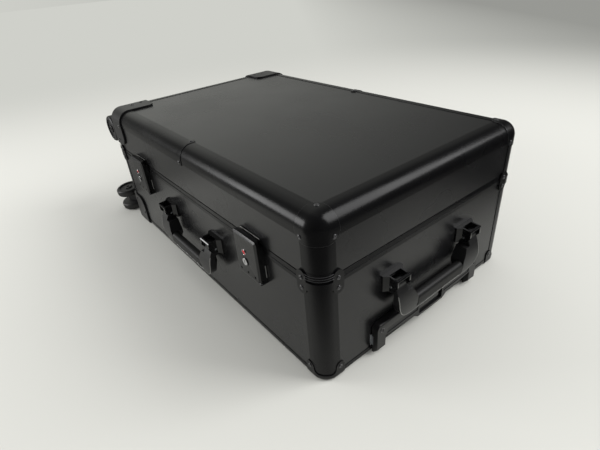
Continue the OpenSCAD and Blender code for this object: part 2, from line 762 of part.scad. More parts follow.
// top of a hood at the wall and at its nose, and the wall of that top
hood_back_z = hood_z + 2;
nose_z = hood_z + 0.3;
hood_top_t = 2;
module hood() {
  c = handle_l / 2 - hood_w / 2;
  slot_w = arm_hi - arm_lo + 2 * arm_gap;
  difference() {
    intersection() {
      // plan: wide at the wall, narrow in front
      translate([c, 0, hood_low - 1]) linear_extrude(hood_back_z - hood_low + 2)
        polygon([[-hood_back_w / 2, -lip_t], [hood_back_w / 2, -lip_t], [hood_back_w / 2, 2],
                 [hood_w / 2, 7], [hood_w / 2, hood_out], [-hood_w / 2, hood_out],
                 [-hood_w / 2, 7], [-hood_back_w / 2, 2]]);
      // side view: flat top that ends in a nose, cheeks that run back to the wall
      translate([c - hood_back_w, 0, 0]) rotate([90, 0, 90]) linear_extrude(2 * hood_back_w)
        polygon([[-lip_t, hood_low], [2, hood_low], [pin_y, pin_z - 7], [pin_y + 6, pin_z - 4],
                 [hood_out, pin_z + 2], [hood_out, nose_z - 1.3], [hood_out - 1, nose_z],
                 [-lip_t, hood_back_z]]);
    }
    // slot for the handle's arm, open in front and below
    translate([arm_lo - arm_gap, 1, hood_low - 1])
      cube([slot_w, hood_out, nose_z - hood_top_t - hood_low + 1]);
    // window in the top, closed in front by the nose's bar
    translate([arm_lo - arm_gap, pin_y - 4, nose_z - hood_top_t - 1])
      cube([slot_w, hood_out - pin_y + 0.6, hood_out]);
    translate([0, pin_y, pin_z]) rotate([0, 90, 0]) cylinder(r = handle_pin_r + pin_fit, h = handle_l);
  }
}
module at_front() { translate([0, -case_w / 2, 0]) mirror([0, 1, 0]) children(); }
module at_end() { translate([case_l / 2, 0, 0]) rotate([0, 0, -90]) children(); }
module handle_hoods() {
  color(gloss_black) {
    at_front() both_x() hood();
    at_end() both_x() hood();
  }
}
module pin_pair() {
  both_x() translate([handle_l / 2 - hood_w, pin_y, pin_z]) rotate([0, 90, 0])
    cylinder(r = handle_pin_r, h = hood_w);
}
module handle_pins() {
  color(steel) {
    at_front() pin_pair();
    at_end() pin_pair();
  }
}
// the arms' front is an arc about this centre
bow_y = -38;
bow_z = handle_lo + 18.3;
bow_r = 61;
// depth of the arms: their back edge at the inner side and at the outer side
arm_back = 3;
arm_back_out = 12;
arm_end_r = 6.5;
grip_half = handle_l / 2 - hood_w - 14;
core_r = 5;
// the arms widen below the hoods' cheeks
fan_z = pin_z - 11;
module arm_side() {
  intersection() {
    translate([bow_y, bow_z]) circle(bow_r, $fn = 96);
    polygon([[arm_back, pin_z], [arm_back, bar_z + 4], [pin_y, handle_lo + 6], [pin_y + 4, handle_lo],
             [bow_r, handle_lo], [bow_r, pin_z]]);
  }
}
module bail() {
  reach = 2 * hood_out;
  difference() {
    union() {
      both_x() {
        // root between the hood's cheeks
        translate([arm_lo, 0, 0]) rotate([90, 0, 90]) linear_extrude(arm_hi - arm_lo) intersection() {
          arm_side();
          translate([0, fan_z - 1]) square([reach, pin_z - fan_z + 1]);
        }
        // arm that widens downwards and turns round the elbow, deeper at its inner side
        intersection() {
          rotate([90, 0, 90]) linear_extrude(handle_l) arm_side();
          translate([0, reach, 0]) rotate([90, 0, 0]) linear_extrude(reach) {
            polygon([[arm_lo - 8, fan_z], [grip_half + 0.3, bar_z + bar_h / 2],
                     [grip_half + 0.3, handle_lo], [arm_hi - elbow_r, handle_lo], [arm_hi - elbow_r, fan_z]]);
            translate([arm_hi - elbow_r, handle_lo + elbow_r]) {
              square([elbow_r, fan_z - handle_lo - elbow_r]);
              intersection() {
                circle(elbow_r);
                translate([0, -elbow_r]) square(elbow_r);
              }
            }
          }
          linear_extrude(2 * pin_z)
            polygon([[0, arm_back], [arm_lo + 2, arm_back], [arm_lo + 9, arm_back_out],
                     [handle_l, arm_back_out], [handle_l, reach], [0, reach]]);
        }
        // eye round the pivot pin
        translate([arm_lo, pin_y, pin_z]) rotate([0, 90, 0]) cylinder(r = arm_end_r, h = arm_hi - arm_lo);
      }
      // core rod inside the sleeve, and the rim below it
      translate([-grip_half - 8, bar_y, bar_z]) rotate([0, 90, 0])
        cylinder(r = core_r, h = 2 * grip_half + 16);
      translate([-grip_half - 1, bar_y - 4, handle_lo]) cube([2 * grip_half + 2, 7.5, rim_t]);
    }
    both_x() translate([0, pin_y, pin_z]) rotate([0, 90, 0])
      cylinder(r = handle_pin_r + run_fit, h = handle_l);
  }
}
module handle_grip() {
  round_r = 6;
  difference() {
    translate([-grip_half, 0, 0]) rotate([90, 0, 90]) linear_extrude(2 * grip_half)
      translate([bar_y, bar_z]) round_rect(bar_t, bar_h, round_r);
    translate([-handle_l, bar_y, bar_z]) rotate([0, 90, 0]) cylinder(r = core_r + pin_fit, h = 2 * handle_l);
  }
}
module front_handle_bail() { color(plastic_black) at_front() bail(); }
module front_handle_grip() { color(rubber_black) at_front() handle_grip(); }
module end_handle_bail() { color(plastic_black) at_end() bail(); }
module end_handle_grip() { color(rubber_black) at_end() handle_grip(); }

// ================= lid =================
lid_wall_top = top_z - edge_r - panel_fit;
module lid_top_panel() {
  color(satin_black) translate([-wall_l / 2, -wall_w / 2, top_z - panel_in]) cube([wall_l, wall_w, panel_t]);
}
module lid_wall_panels() {
  h = lid_wall_top - lid_z;
  color(satin_black) {
    both_y() translate([-wall_l / 2, -case_w / 2 + lip_t, lid_z]) cube([wall_l, panel_t, h]);
    both_x() translate([-case_l / 2 + lip_t, -wall_w / 2, lid_z]) cube([panel_t, wall_w, h]);
  }
}
// rail sections with the case's edge at the origin: round part, side lip and top lip
module rail_round() { quarter_ring(edge_r, profile_t); }
module rail_side_lip() { translate([0, edge_r]) square([lip_t, lip_l]); }
module rail_top_lip() { translate([edge_r, 0]) square([lip_l, lip_t]); }
lip_miter = lip_l + panel_fit;
module lid_edge_rails() {
  long_l = case_l - 2 * edge_r - 2 * panel_fit;
  short_w = case_w - 2 * edge_r;
  color(anodised_black) {
    difference() {
      both_y() along_x(long_l) translate([-case_w / 2, top_z]) mirror([0, 1]) {
        rail_round();
        rail_side_lip();
        rail_top_lip();
      }
      translate([seam_x - seam_gap / 2, -case_w, 0]) cube([seam_gap, 2 * case_w, 2 * top_z]);
    }
    both_x() {
      along_y(short_w) translate([-case_l / 2, top_z]) mirror([0, 1]) {
        rail_round();
        rail_side_lip();
      }
      along_y(short_w - 2 * lip_miter) translate([-case_l / 2, top_z]) mirror([0, 1]) rail_top_lip();
    }
  }
}
module lid_corner_posts() {
  color(anodised_black) four_corners() at_base_corner() {
    translate([0, 0, lid_z - post_dip]) linear_extrude(top_z - edge_r - lid_z + post_dip)
      quarter_ring(edge_r, profile_t);
    translate([0, 0, lid_z]) linear_extrude(top_z - edge_r - lip_miter - lid_z) post_lips();
  }
}
lid_frame_w = 4.4;
lid_frame_h = 6;
lid_frame_z = base_h + tongue_h + 1.4;
module lid_closure_frame() {
  color(anodised_black)
    case_ring_solid(panel_in, panel_in + lid_frame_w, lid_frame_z, lid_frame_z + lid_frame_h);
}
module lid_ball_corners() {
  color(anodised_black) mirror([1, 0, 0]) both_y() at_lid_corner()
    corner_cap(edge_r, ball_t, ball_reach, ball_reach, ball_reach, ball_c, ball_c);
}
module lid_wheel_guards() {
  color(plastic_black) both_y() at_lid_corner() wheel_guard(edge_r, lid_guard_h);
}
strap_w = 12;
strap_l = 10;
strap_t = 0.9;
module lid_joint_straps() {
  g0 = corner_fit;
  color(gloss_black) both_y() intersection() {
    along_x(case_l) translate([-case_w / 2, top_z]) mirror([0, 1])
      corner_wrap(g0, strap_t, edge_r + strap_l);
    // front view and plan, both with round ends
    translate([seam_x, 0, top_z - edge_r - strap_l + strap_w / 2]) rotate([90, 0, 0])
      linear_extrude(case_w) {
        circle(strap_w / 2);
        translate([-strap_w / 2, 0]) square([strap_w, 2 * edge_r]);
      }
    translate([seam_x, -case_w / 2 + edge_r + strap_l - strap_w / 2, lid_z]) linear_extrude(2 * lid_h) {
      circle(strap_w / 2);
      translate([-strap_w / 2, -2 * edge_r]) square([strap_w, 2 * edge_r]);
    }
  }
}
ball_rivet = 24;
guard_rivet_in = 38;
module lid_rivets() {
  color(gloss_black) both_y() {
    // ball corners
    translate([case_l / 2 - ball_rivet, ball_rivet - case_w / 2, top_z + ball_t]) rivet();
    rivet_front(case_l / 2 - ball_rivet, -case_w / 2 - ball_t, top_z - ball_rivet - 1);
    mirror([1, 0, 0])
      rivet_end(-case_l / 2 - ball_t, ball_rivet - case_w / 2, top_z - ball_rivet - 1);
    // joint straps
    translate([seam_x, -case_w / 2 + edge_r + 4, top_z + strap_t]) rivet();
    rivet_front(seam_x, -case_w / 2 - strap_t, top_z - edge_r - 4);
    // wheel guards
    for (p = [[guard_rivet, guard_y - guard_edge - 4], [guard_rivet + 5, guard_rivet_in]])
      translate([-case_l / 2 + p[0], -case_w / 2 + p[1], top_z + guard_t]) rivet();
    for (p = [[guard_rivet + 6, lid_guard_h - guard_edge], [guard_x - guard_edge, guard_rivet]])
      rivet_front(-case_l / 2 + p[0], -case_w / 2 - guard_t, top_z - p[1]);
    rivet_end(-case_l / 2 - guard_t, -case_w / 2 + guard_y - guard_edge, top_z - edge_r);
  }
  // hinges
  color(gloss_black) both_x() for (x = [-1, 0, 1] * hinge_rivet_gap, z = [9, 19])
    mirror([0, 1, 0]) rivet_front(hinge_x + x, lip_t - case_w / 2 - leaf_t, hinge_z + z);
}
lining_bevel = 8;
module lining_block(inset, z0, z1) {
  l = case_l - 2 * inset;
  w = case_w - 2 * inset;
  b = lining_bevel;
  intersection() {
    translate([0, 0, z0]) linear_extrude(z1 - z0) round_rect(l, w, edge_r - inset);
    along_x(l) polygon([[-w / 2, z0], [w / 2, z0], [w / 2, z1 - b], [w / 2 - b, z1], [b - w / 2, z1],
                        [-w / 2, z1 - b]]);
    along_y(w) polygon([[-l / 2, z0], [l / 2, z0], [l / 2, z1 - b], [l / 2 - b, z1], [b - l / 2, z1],
                        [-l / 2, z1 - b]]);
  }
}
module lid_lining() {
  z0 = lid_frame_z + lid_frame_h + panel_fit;
  z1 = top_z - panel_in;
  color(lining_grey) difference() {
    lining_block(panel_in + panel_fit, z0, z1);
    lining_block(panel_in + panel_fit + lining_t, z0 - 20, z1 - lining_t);
  }
}

// ================= sliding trolley handle =================
grip_w = tube_pitch + grip_leg_w;
module trolley_inner_tubes() {
  color(steel) square_tube(tube_start + tube_stay, grip_x + 2, inner_w, tube_t);
}
recess_w = button_w + 6;
recess_d = 4.4;
button_h = 20;
button_drop = 17;
button_z = grip_z - button_drop;
module trolley_grip() {
  z0 = 1;
  corner_r = 8;
  edge = 3;
  inner = grip_w / 2 - grip_leg_w;
  bar_lo = grip_z - grip_h;
  arch_z = bar_lo + grip_arch;
  arch_rise = 4.5;
  house = recess_w / 2 + 2;
  house_slope = 9;
  color(plastic_black) difference() {
    intersection() {
      // end view: bar between two legs, round at the upper corners
      translate([grip_x, 0, 0]) rotate([90, 0, 90]) linear_extrude(grip_t) difference() {
        union() {
          translate([-grip_w / 2, z0]) square([grip_w, grip_z - corner_r - z0]);
          translate([-grip_w / 2 + corner_r, z0]) square([grip_w - 2 * corner_r, grip_z - z0]);
          for (s = [-1, 1]) translate([s * (grip_w / 2 - corner_r), grip_z - corner_r]) circle(corner_r);
        }
        // room for the fingers on both sides of the button's housing
        polygon([[-inner, z0 - 1], [-inner, arch_z + arch_rise], [-inner / 2, arch_z],
                 [-house - house_slope, arch_z], [-house, bar_lo], [house, bar_lo],
                 [house + house_slope, arch_z], [inner / 2, arch_z], [inner, arch_z + arch_rise],
                 [inner, z0 - 1]]);
      }
      // side view: round top edge, legs that run back to the tubes at the bottom
      along_y(2 * grip_w) translate([grip_x, 0]) {
        translate([0, z0 + 8]) square([grip_t - edge, grip_z - z0 - 8]);
        translate([0, z0 + 8]) square([grip_t, grip_z - z0 - 8 - edge]);
        translate([grip_t - edge, grip_z - edge]) circle(edge);
        polygon([[0, z0], [grip_t - 7, z0], [grip_t, z0 + 8.01], [0, z0 + 8.01]]);
      }
    }
    // sockets of the sliding tubes
    both_y() translate([grip_x - 1, tube_pitch / 2 - inner_w / 2, tube_z - inner_w / 2])
      cube([3, inner_w, inner_w]);
    // recess and pocket of the push button
    translate([grip_x + grip_t - recess_d, -recess_w / 2, button_z - button_h / 2 - 3])
      cube([20, recess_w, button_h + 6]);
    translate([grip_x + 1.2, -button_w / 2 - latch_fit, button_z - button_h / 2 - latch_fit])
      cube([20, button_w + 2 * latch_fit, button_h + 2 * latch_fit]);
    // long groove that leaves a ridge along the bar
    both_y() translate([grip_x + grip_t - 0.8, recess_w / 2 + 3, button_z - 4])
      cube([5, grip_w / 2 - recess_w / 2 - grip_leg_w - 6, 8]);
  }
}
button_x = grip_x + 1.2 + button_travel + 0.1;
module trolley_button() {
  color(gloss_black) translate([button_x, 0, button_z]) rotate([90, 0, 90]) linear_extrude(3)
    round_rect(button_w, button_h, 4);
}

// ================= casters =================
// drawn with the swivel axis along +Z away from the case and the trail along +X
pad_face = guard_t + pad_h;
axle_z = axle_out - pad_face;
fork_gap = 0.3;
flange_r = 17;
flange_t = 5;
web_w = wheel_pitch - wheel_w - 3;
web_end_r = 9;
module caster_fork() {
  difference() {
    union() {
      translate([0, 0, fork_gap]) cylinder(r = flange_r, h = flange_t);
      translate([0, 0, -king_l + fork_gap]) cylinder(r = king_r, h = king_l + 1);
      // web between the wheels
      translate([0, web_w / 2, 0]) rotate([90, 0, 0]) linear_extrude(web_w) {
        polygon([[-flange_r + 3, flange_t], [flange_r - 2, flange_t],
                 [caster_trail + web_end_r - 1, axle_z - 4], [caster_trail, axle_z + web_end_r - 0.5],
                 [caster_trail - web_end_r + 0.5, axle_z + 3]]);
        translate([caster_trail, axle_z]) circle(web_end_r);
      }
    }
    translate([caster_trail, wheel_pitch, axle_z]) rotate([90, 0, 0])
      cylinder(r = axle_r + pin_fit, h = 2 * wheel_pitch);
  }
}
axle_l = wheel_pitch + wheel_w - 4;
module caster_axle() {
  translate([caster_trail, axle_l / 2, axle_z]) rotate([90, 0, 0]) cylinder(r = axle_r, h = axle_l);
}
// half section of a wheel: round tread, recessed face
module wheel_half() {
  tread_r = 4;
  difference() {
    union() {
      translate([axle_r + run_fit, -wheel_w / 2]) square([wheel_r - tread_r - axle_r - run_fit, wheel_w]);
      translate([axle_r + run_fit, -wheel_w / 2 + tread_r])
        square([wheel_r - axle_r - run_fit, wheel_w - 2 * tread_r]);
      for (s = [-1, 1]) translate([wheel_r - tread_r, s * (wheel_w / 2 - tread_r)]) circle(tread_r);
    }
    // recess between the hub and the tyre, on the outer face
    translate([7.5, wheel_w / 2 - 2.5]) square([wheel_r - 7.5 - 7, 5]);
  }
}
module caster_wheels() {
  for (s = [-1, 1]) translate([caster_trail, s * wheel_pitch / 2, axle_z]) rotate([-90 * s, 0, 0])
    rotate_extrude() wheel_half();
}
// a base caster lies against the floor; a lid caster hangs straight down
module at_base_caster(s) {
  translate([-case_l / 2 - pad_face, s * (case_w / 2 - caster_inset), caster_inset])
    rotate([s * (90 - caster_tilt), 0, 0]) rotate([0, -90, 0]) rotate([0, 0, 180]) children();
}
module at_lid_caster(s) {
  translate([-case_l / 2 - pad_face, s * (case_w / 2 - caster_inset), top_z - caster_inset])
    rotate([0, -90, 0]) rotate([0, 0, 180]) children();
}
module base_caster_fork_1() { color(plastic_black) at_base_caster(-1) caster_fork(); }
module base_caster_fork_2() { color(plastic_black) at_base_caster(1) caster_fork(); }
module lid_caster_fork_1() { color(plastic_black) at_lid_caster(-1) caster_fork(); }
module lid_caster_fork_2() { color(plastic_black) at_lid_caster(1) caster_fork(); }
module base_caster_axle_1() { color(steel) at_base_caster(-1) caster_axle(); }
module base_caster_axle_2() { color(steel) at_base_caster(1) caster_axle(); }
module lid_caster_axle_1() { color(steel) at_lid_caster(-1) caster_axle(); }
module lid_caster_axle_2() { color(steel) at_lid_caster(1) caster_axle(); }
module base_caster_wheels_1() { color(rubber_black) at_base_caster(-1) caster_wheels(); }
module base_caster_wheels_2() { color(rubber_black) at_base_caster(1) caster_wheels(); }
module lid_caster_wheels_1() { color(rubber_black) at_lid_caster(-1) caster_wheels(); }
module lid_caster_wheels_2() { color(rubber_black) at_lid_caster(1) caster_wheels(); }

base_floor_panel();
base_wall_panels();
base_bottom_rail();
base_corner_posts();
base_closure_frame();
base_ball_corners();
base_wheel_guards();
base_corner_brackets();
base_lining();
base_rivets();
trolley_outer_tubes();
trolley_brackets();
hinge_base_leaves();
hinge_pins();
latch_bodies();
latch_pins();
handle_hoods();
handle_pins();
lid_top_panel();
lid_wall_panels();
lid_edge_rails();
lid_corner_posts();
lid_closure_frame();
lid_ball_corners();
lid_wheel_guards();
lid_joint_straps();
lid_rivets();
lid_lining();
hinge_lid_leaves();
latch_keepers();
latch_cover_1();
latch_cover_2();
key_cylinder_1();
key_cylinder_2();
dial(1, -1);  // dial_1a
dial(1, 0);  // dial_1b
dial(1, 1);  // dial_1c
dial(-1, -1);  // dial_2a
dial(-1, 0);  // dial_2b
dial(-1, 1);  // dial_2c
front_handle_bail();
front_handle_grip();
end_handle_bail();
end_handle_grip();
trolley_inner_tubes();
trolley_grip();
trolley_button();
base_caster_fork_1();
base_caster_axle_1();
base_caster_wheels_1();
base_caster_fork_2();
base_caster_axle_2();
base_caster_wheels_2();
lid_caster_fork_1();
lid_caster_axle_1();
lid_caster_wheels_1();
lid_caster_fork_2();
lid_caster_axle_2();
lid_caster_wheels_2();
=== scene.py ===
"""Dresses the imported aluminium-framed trolley case: finishes, rounded edges, fittings and stage."""

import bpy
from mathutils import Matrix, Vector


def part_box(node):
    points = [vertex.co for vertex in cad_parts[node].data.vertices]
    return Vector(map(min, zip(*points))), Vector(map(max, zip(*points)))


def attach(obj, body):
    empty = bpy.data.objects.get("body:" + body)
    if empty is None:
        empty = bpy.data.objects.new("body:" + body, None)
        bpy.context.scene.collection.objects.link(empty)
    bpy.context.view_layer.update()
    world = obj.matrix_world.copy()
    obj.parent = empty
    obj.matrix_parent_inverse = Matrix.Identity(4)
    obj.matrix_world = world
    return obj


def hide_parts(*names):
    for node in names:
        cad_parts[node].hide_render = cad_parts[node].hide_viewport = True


bl_info = {
    "name": "Trolley case",
    "version": (1, 0, 0),
    "blender": (4, 5, 0),
    "location": "3D View > Sidebar > Trolley case",
    "description": "Builds the visible pieces of an aluminium-framed trolley case",
    "category": "Object",
}

import math

import bmesh
import bpy
from bpy.props import FloatProperty, FloatVectorProperty, PointerProperty
from mathutils import Matrix, Vector

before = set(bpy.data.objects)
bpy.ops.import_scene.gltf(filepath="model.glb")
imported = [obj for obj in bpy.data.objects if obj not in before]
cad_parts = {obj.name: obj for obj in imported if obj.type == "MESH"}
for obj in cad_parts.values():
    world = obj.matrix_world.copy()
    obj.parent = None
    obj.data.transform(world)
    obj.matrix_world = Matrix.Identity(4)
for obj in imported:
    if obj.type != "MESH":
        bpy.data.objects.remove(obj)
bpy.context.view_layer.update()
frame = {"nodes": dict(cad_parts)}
MM = 0.001
# distance under which two corners of a mesh are one
WELD = 2e-6
# size of the wiped patches in every coat, share by which they change its colour, and pitch of the drawn weave
SMEAR_SIZE = 90 * MM
SMEAR_TINT = 0.12
WEAVE_PITCH = 1.2 * MM
# radius of the case's upright corners
CORNER_RADIUS = 20 * MM


def linear(code):
    """An sRGB hex colour as linear red, green and blue."""
    values = [int(code[i : i + 2], 16) / 255 for i in (1, 3, 5)]
    return [v / 12.92 if v <= 0.04045 else ((v + 0.055) / 1.055) ** 2.4 for v in values]


def colour_prop(name, code, description):
    return FloatVectorProperty(
        name=name, description=description, default=linear(code), size=3, subtype="COLOR", min=0, max=1
    )


def length_prop(name, millimetres, description):
    return FloatProperty(
        name=name, description=description, default=millimetres * MM, unit="LENGTH", min=0, precision=5
    )


class CaseColours(bpy.types.PropertyGroup):
    panel: colour_prop("Panels", "#131314", "Skin of the case's panels")
    frame: colour_prop("Edge profiles", "#0c0c0d", "Anodised rails, posts and closure frame")
    corner: colour_prop("Corners", "#0c0c0d", "Stamped corners, brackets, straps and hinges")
    guard: colour_prop("Wheel guards", "#101011", "Moulded guards, caster forks and trolley grip")
    gloss: colour_prop("Gloss plastic", "#070708", "Handle hoods, dials and push button")
    latch: colour_prop("Latches", "#0d0d0e", "Latch bodies and covers")
    grip: colour_prop("Handle sleeves", "#0e0e0e", "Soft sleeves of the carry handles")
    tyre: colour_prop("Wheels", "#141414", "Caster wheels")
    lining: colour_prop("Lining", "#2e2e33", "Cloth on the inside")
    lamp_dot: colour_prop("Latch dot", "#b3202a", "Enamel dot on the latch covers")
    floor: colour_prop("Floor", "#cfcfc9", "Studio floor")
    backdrop: colour_prop("Backdrop", "#cfd0ca", "Studio backdrop")


class CaseSizes(bpy.types.PropertyGroup):
    profile_bevel: length_prop("Profile edge", 0.15, "Rounding of the aluminium profiles' edges")
    sheet_bevel: length_prop("Sheet edge", 0.3, "Rounding of stamped sheet edges")
    guard_bevel: length_prop("Guard edge", 0.8, "Rounding of the moulded guards' edges")
    latch_bevel: length_prop("Latch edge", 1.2, "Rounding of the latch covers' edges")
    hood_bevel: length_prop("Hood edge", 1.2, "Rounding of the handle hoods' edges")
    rivet_radius: length_prop("Rivet radius", 3.1, "Radius of a rivet head")
    rivet_height: length_prop("Rivet height", 1.0, "Height of a rivet head")
    rib_radius: length_prop("Bracket rib", 0.35, "Radius of the ribs round the front corner brackets")
    bead_radius: length_prop("Handle bead", 0.55, "Radius of the bead along a carry handle's edge")
    mark_radius: length_prop("Index mark", 1.7, "Radius of the index marks on the latch covers")
    lining_pad: length_prop("Lining pad", 3.0, "Thickness of the lining's quilted pads")
    lining_slope: length_prop("Lining slope", 8.0, "Width of the slope under the lid's round rails")
    piping_radius: length_prop("Piping", 1.2, "Radius of the lining's piping cord")


# ---- nodes and materials


def add(tree, kind, links=None, **settings):
    """Adds a node. links maps an input's name or number to a value, a node's first output or a socket."""
    made = tree.nodes.new(kind)
    for key, value in settings.items():
        setattr(made, key, value)
    for key, value in (links or {}).items():
        socket = made.inputs[key]
        if isinstance(value, bpy.types.Node):
            value = value.outputs[0]
        if isinstance(value, bpy.types.NodeSocket):
            tree.links.new(value, socket)
        else:
            socket.default_value = value
    return made


def rgba(colour, factor=1.0):
    return [min(1, c * factor) for c in colour] + [1]


def new_material(name):
    """An empty material with its output, its shader and its Object coordinates."""
    material = bpy.data.materials.new(name)
    material.use_nodes = True
    tree = material.node_tree
    tree.nodes.clear()
    shader = add(tree, "ShaderNodeBsdfPrincipled")
    add(tree, "ShaderNodeOutputMaterial", {"Surface": shader})
    place = add(tree, "ShaderNodeTexCoord").outputs["Object"]
    return material, tree, shader, place


# Inputs of a Map Range node: 0 is the value, 1 and 2 are its range, and 3 and 4 are what they become.


def finish_coat(
    name, colour, roughness, grain, depth, metallic=0.0, spread=0.04, stretch=(1, 1, 1), specular=0.5
):
    """A coated or moulded finish: fine grain of a real size, faint colour change and wiped, uneven gloss.

    The grain is drawn out along an axis where its stretch is under 1.
    """
    material, tree, shader, place = new_material(name)
    shader.inputs["Metallic"].default_value = metallic
    shader.inputs["Specular IOR Level"].default_value = specular
    smear = add(tree, "ShaderNodeTexNoise", {"Vector": place, "Scale": 1 / SMEAR_SIZE, "Detail": 2.0})
    drawn = add(tree, "ShaderNodeMapping", {"Vector": place, "Scale": stretch})
    fine = add(tree, "ShaderNodeTexNoise", {"Vector": drawn, "Scale": 1 / grain, "Detail": 2.0})
    tint = {"Factor": smear, "A": rgba(colour, 1 - SMEAR_TINT), "B": rgba(colour, 1 + SMEAR_TINT)}
    tinted = add(tree, "ShaderNodeMix", tint, data_type="RGBA")
    tree.links.new(tinted.outputs["Result"], shader.inputs["Base Color"])
    gloss = {0: smear, 1: 0.3, 2: 0.7, 3: roughness - spread, 4: roughness + spread}
    rough = add(tree, "ShaderNodeMapRange", gloss)
    tree.links.new(rough.outputs[0], shader.inputs["Roughness"])
    raised = add(tree, "ShaderNodeBump", {"Height": fine, "Distance": depth})
    tree.links.new(raised.outputs[0], shader.inputs["Normal"])
    return material


def panel_finish(c):
    # ABS laminate with a satin skin: near-black, soft even reflections, faint orange-peel
    return finish_coat("satin_abs_laminate", c.panel, 0.26, 1.2 * MM, 0.004 * MM, spread=0.03, specular=0.4)


def profile_finish(c):
    # black anodised aluminium extrusion: the dark oxide holds the metal's shine down, faint die lines
    return finish_coat("black_anodised_aluminium", c.frame, 0.26, 0.5 * MM, 0.004 * MM, specular=0.16)


def corner_finish(c):
    # stamped steel with stoved black enamel: a little glossier than the profiles
    return finish_coat("stoved_black_steel", c.corner, 0.22, 0.9 * MM, 0.004 * MM, specular=0.18)


def guard_finish(c):
    # injection-moulded ABS with a spark-eroded grain: broad, dull highlights
    return finish_coat("moulded_black_abs", c.guard, 0.4, 0.5 * MM, 0.02 * MM, specular=0.4)


def gloss_finish(c):
    # ABS from a polished mould: sharp small highlights on near-black
    return finish_coat("gloss_black_abs", c.gloss, 0.1, 2 * MM, 0.002 * MM, spread=0.03, specular=0.4)


def latch_finish(c):
    # die-cast zinc under black powder coat: an even satin with a fine tooth
    return finish_coat("powder_coated_zinc", c.latch, 0.28, 0.35 * MM, 0.01 * MM, specular=0.35)


def grip_finish(c):
    # soft-touch vinyl sleeve: no clear highlight at all
    return finish_coat("soft_vinyl", c.grip, 0.5, 0.5 * MM, 0.02 * MM, specular=0.28)


def tyre_finish(c):
    # polyurethane tyre on a nylon centre, dulled by dust
    return finish_coat("polyurethane_tyre", c.tyre, 0.5, 0.8 * MM, 0.03 * MM, spread=0.08)


def steel_finish(c):
    # cold-drawn steel: bright, with a blurred reflection
    return finish_coat("bright_steel", linear("#b9bcc0"), 0.28, 0.4 * MM, 0.003 * MM, metallic=1.0)


def chrome_finish(c):
    # chrome plate on brass: a clear mirror
    return finish_coat("chrome_plate", linear("#d6d6d8"), 0.1, 3 * MM, 0.001 * MM, metallic=1.0, spread=0.02)


def tube_finish(c):
    # clear-anodised drawn aluminium, with draw lines along the tube
    along = (0.02, 1, 1)
    return finish_coat(
        "clear_anodised_tube", linear("#a9acb0"), 0.32, 0.4 * MM, 0.004 * MM, metallic=0.9, stretch=along
    )


def dot_finish(c):
    # red stove enamel: a smooth glassy drop
    return finish_coat("red_enamel", c.lamp_dot, 0.15, 1 * MM, 0.001 * MM, spread=0.02)


def figure_finish(c):
    # white enamel filled into the figures
    return finish_coat("white_enamel", linear("#d2d2cc"), 0.4, 0.3 * MM, 0.002 * MM)


def rivet_finish(c):
    # black zinc plate, lightened to a grey paler than the corners; the lightening is a painted highlight for
    # the bright ring on each rivet and screw head
    return finish_coat("rivet_painted_highlight", linear("#232325"), 0.26, 0.6 * MM, 0.004 * MM, specular=0.9)


def rubbed_through_finish(c):
    # painted highlight: a pale metal grey for the thin strips and beads that stand for bright lines of light
    # along edges
    return finish_coat("painted_highlight_strips", linear("#8d8d8b"), 0.3, 0.8 * MM, 0.004 * MM, metallic=0.6)


def rubbed_enamel_finish(c):
    # stoved enamel, a little paler than the face, on the roundings of the stamped pieces and on the bracket
    # ribs
    return finish_coat("paler_enamel_edge", linear("#2b2b2d"), 0.3, 0.6 * MM, 0.004 * MM, specular=0.5)


def recess_finish(c):
    # painted shade: black from every side, as the unlit inside of a small recess
    return finish_coat("painted_pit_shade", linear("#030303"), 0.8, 0.4 * MM, 0.01 * MM, specular=0.0)


def thread_finish(c):
    # twisted sewing thread: dull and a little paler than the cloth
    return finish_coat("sewing_thread", linear("#4a4a50"), 0.8, 0.3 * MM, 0.05 * MM)


def lining_finish(c):
    # woven nylon lining: an over-and-under weave, drawn coarser than the real 0.5 mm so that it shows
    material, tree, shader, place = new_material("woven_nylon_lining")
    shader.inputs["Roughness"].default_value = 0.85
    shader.inputs["Sheen Weight"].default_value = 0.25
    parts = add(tree, "ShaderNodeSeparateXYZ", {"Vector": place})
    waves = []
    for axis in "XYZ":
        scaled = {0: parts.outputs[axis], 1: 2 * math.pi / WEAVE_PITCH}
        turn = add(tree, "ShaderNodeMath", scaled, operation="MULTIPLY")
        waves.append(add(tree, "ShaderNodeMath", {0: turn}, operation="SINE"))
    pair = add(tree, "ShaderNodeMath", {0: waves[0], 1: waves[1]}, operation="ADD")
    weave = add(tree, "ShaderNodeMath", {0: pair, 1: waves[2]}, operation="ADD")
    level = add(tree, "ShaderNodeMapRange", {0: weave, 1: -2.0, 2: 2.0, 3: 0.0, 4: 1.0})
    tint = {"Factor": level, "A": rgba(c.lining, 0.7), "B": rgba(c.lining, 1.25)}
    tinted = add(tree, "ShaderNodeMix", tint, data_type="RGBA")
    tree.links.new(tinted.outputs["Result"], shader.inputs["Base Color"])
    raised = add(tree, "ShaderNodeBump", {"Height": level, "Distance": 0.15 * MM})
    tree.links.new(raised.outputs[0], shader.inputs["Normal"])
    return material


# slot of a piece: its finish, and the slot that the frame's record knows it by
FINISHES = {
    "panel": (panel_finish, "panel"),
    "frame": (profile_finish, "frame"),
    "corner": (corner_finish, "corner"),
    "guard": (guard_finish, "guard"),
    "gloss": (gloss_finish, "gloss"),
    "latch": (latch_finish, "latch"),
    "grip": (grip_finish, "grip"),
    "tyre": (tyre_finish, "tyre"),
    "steel": (steel_finish, "steel"),
    "chrome": (chrome_finish, "chrome"),
    "tube": (tube_finish, "tube"),
    "lining": (lining_finish, "lining"),
    "dot": (dot_finish, "gloss"),
    "figure": (figure_finish, "gloss"),
    "recess": (recess_finish, "gloss"),
    "rivet": (rivet_finish, "corner"),
    "pale_rounding": (rubbed_enamel_finish, "corner"),
    "edge": (rubbed_through_finish, "steel"),
    "thread": (thread_finish, "lining"),
}
materials = {}


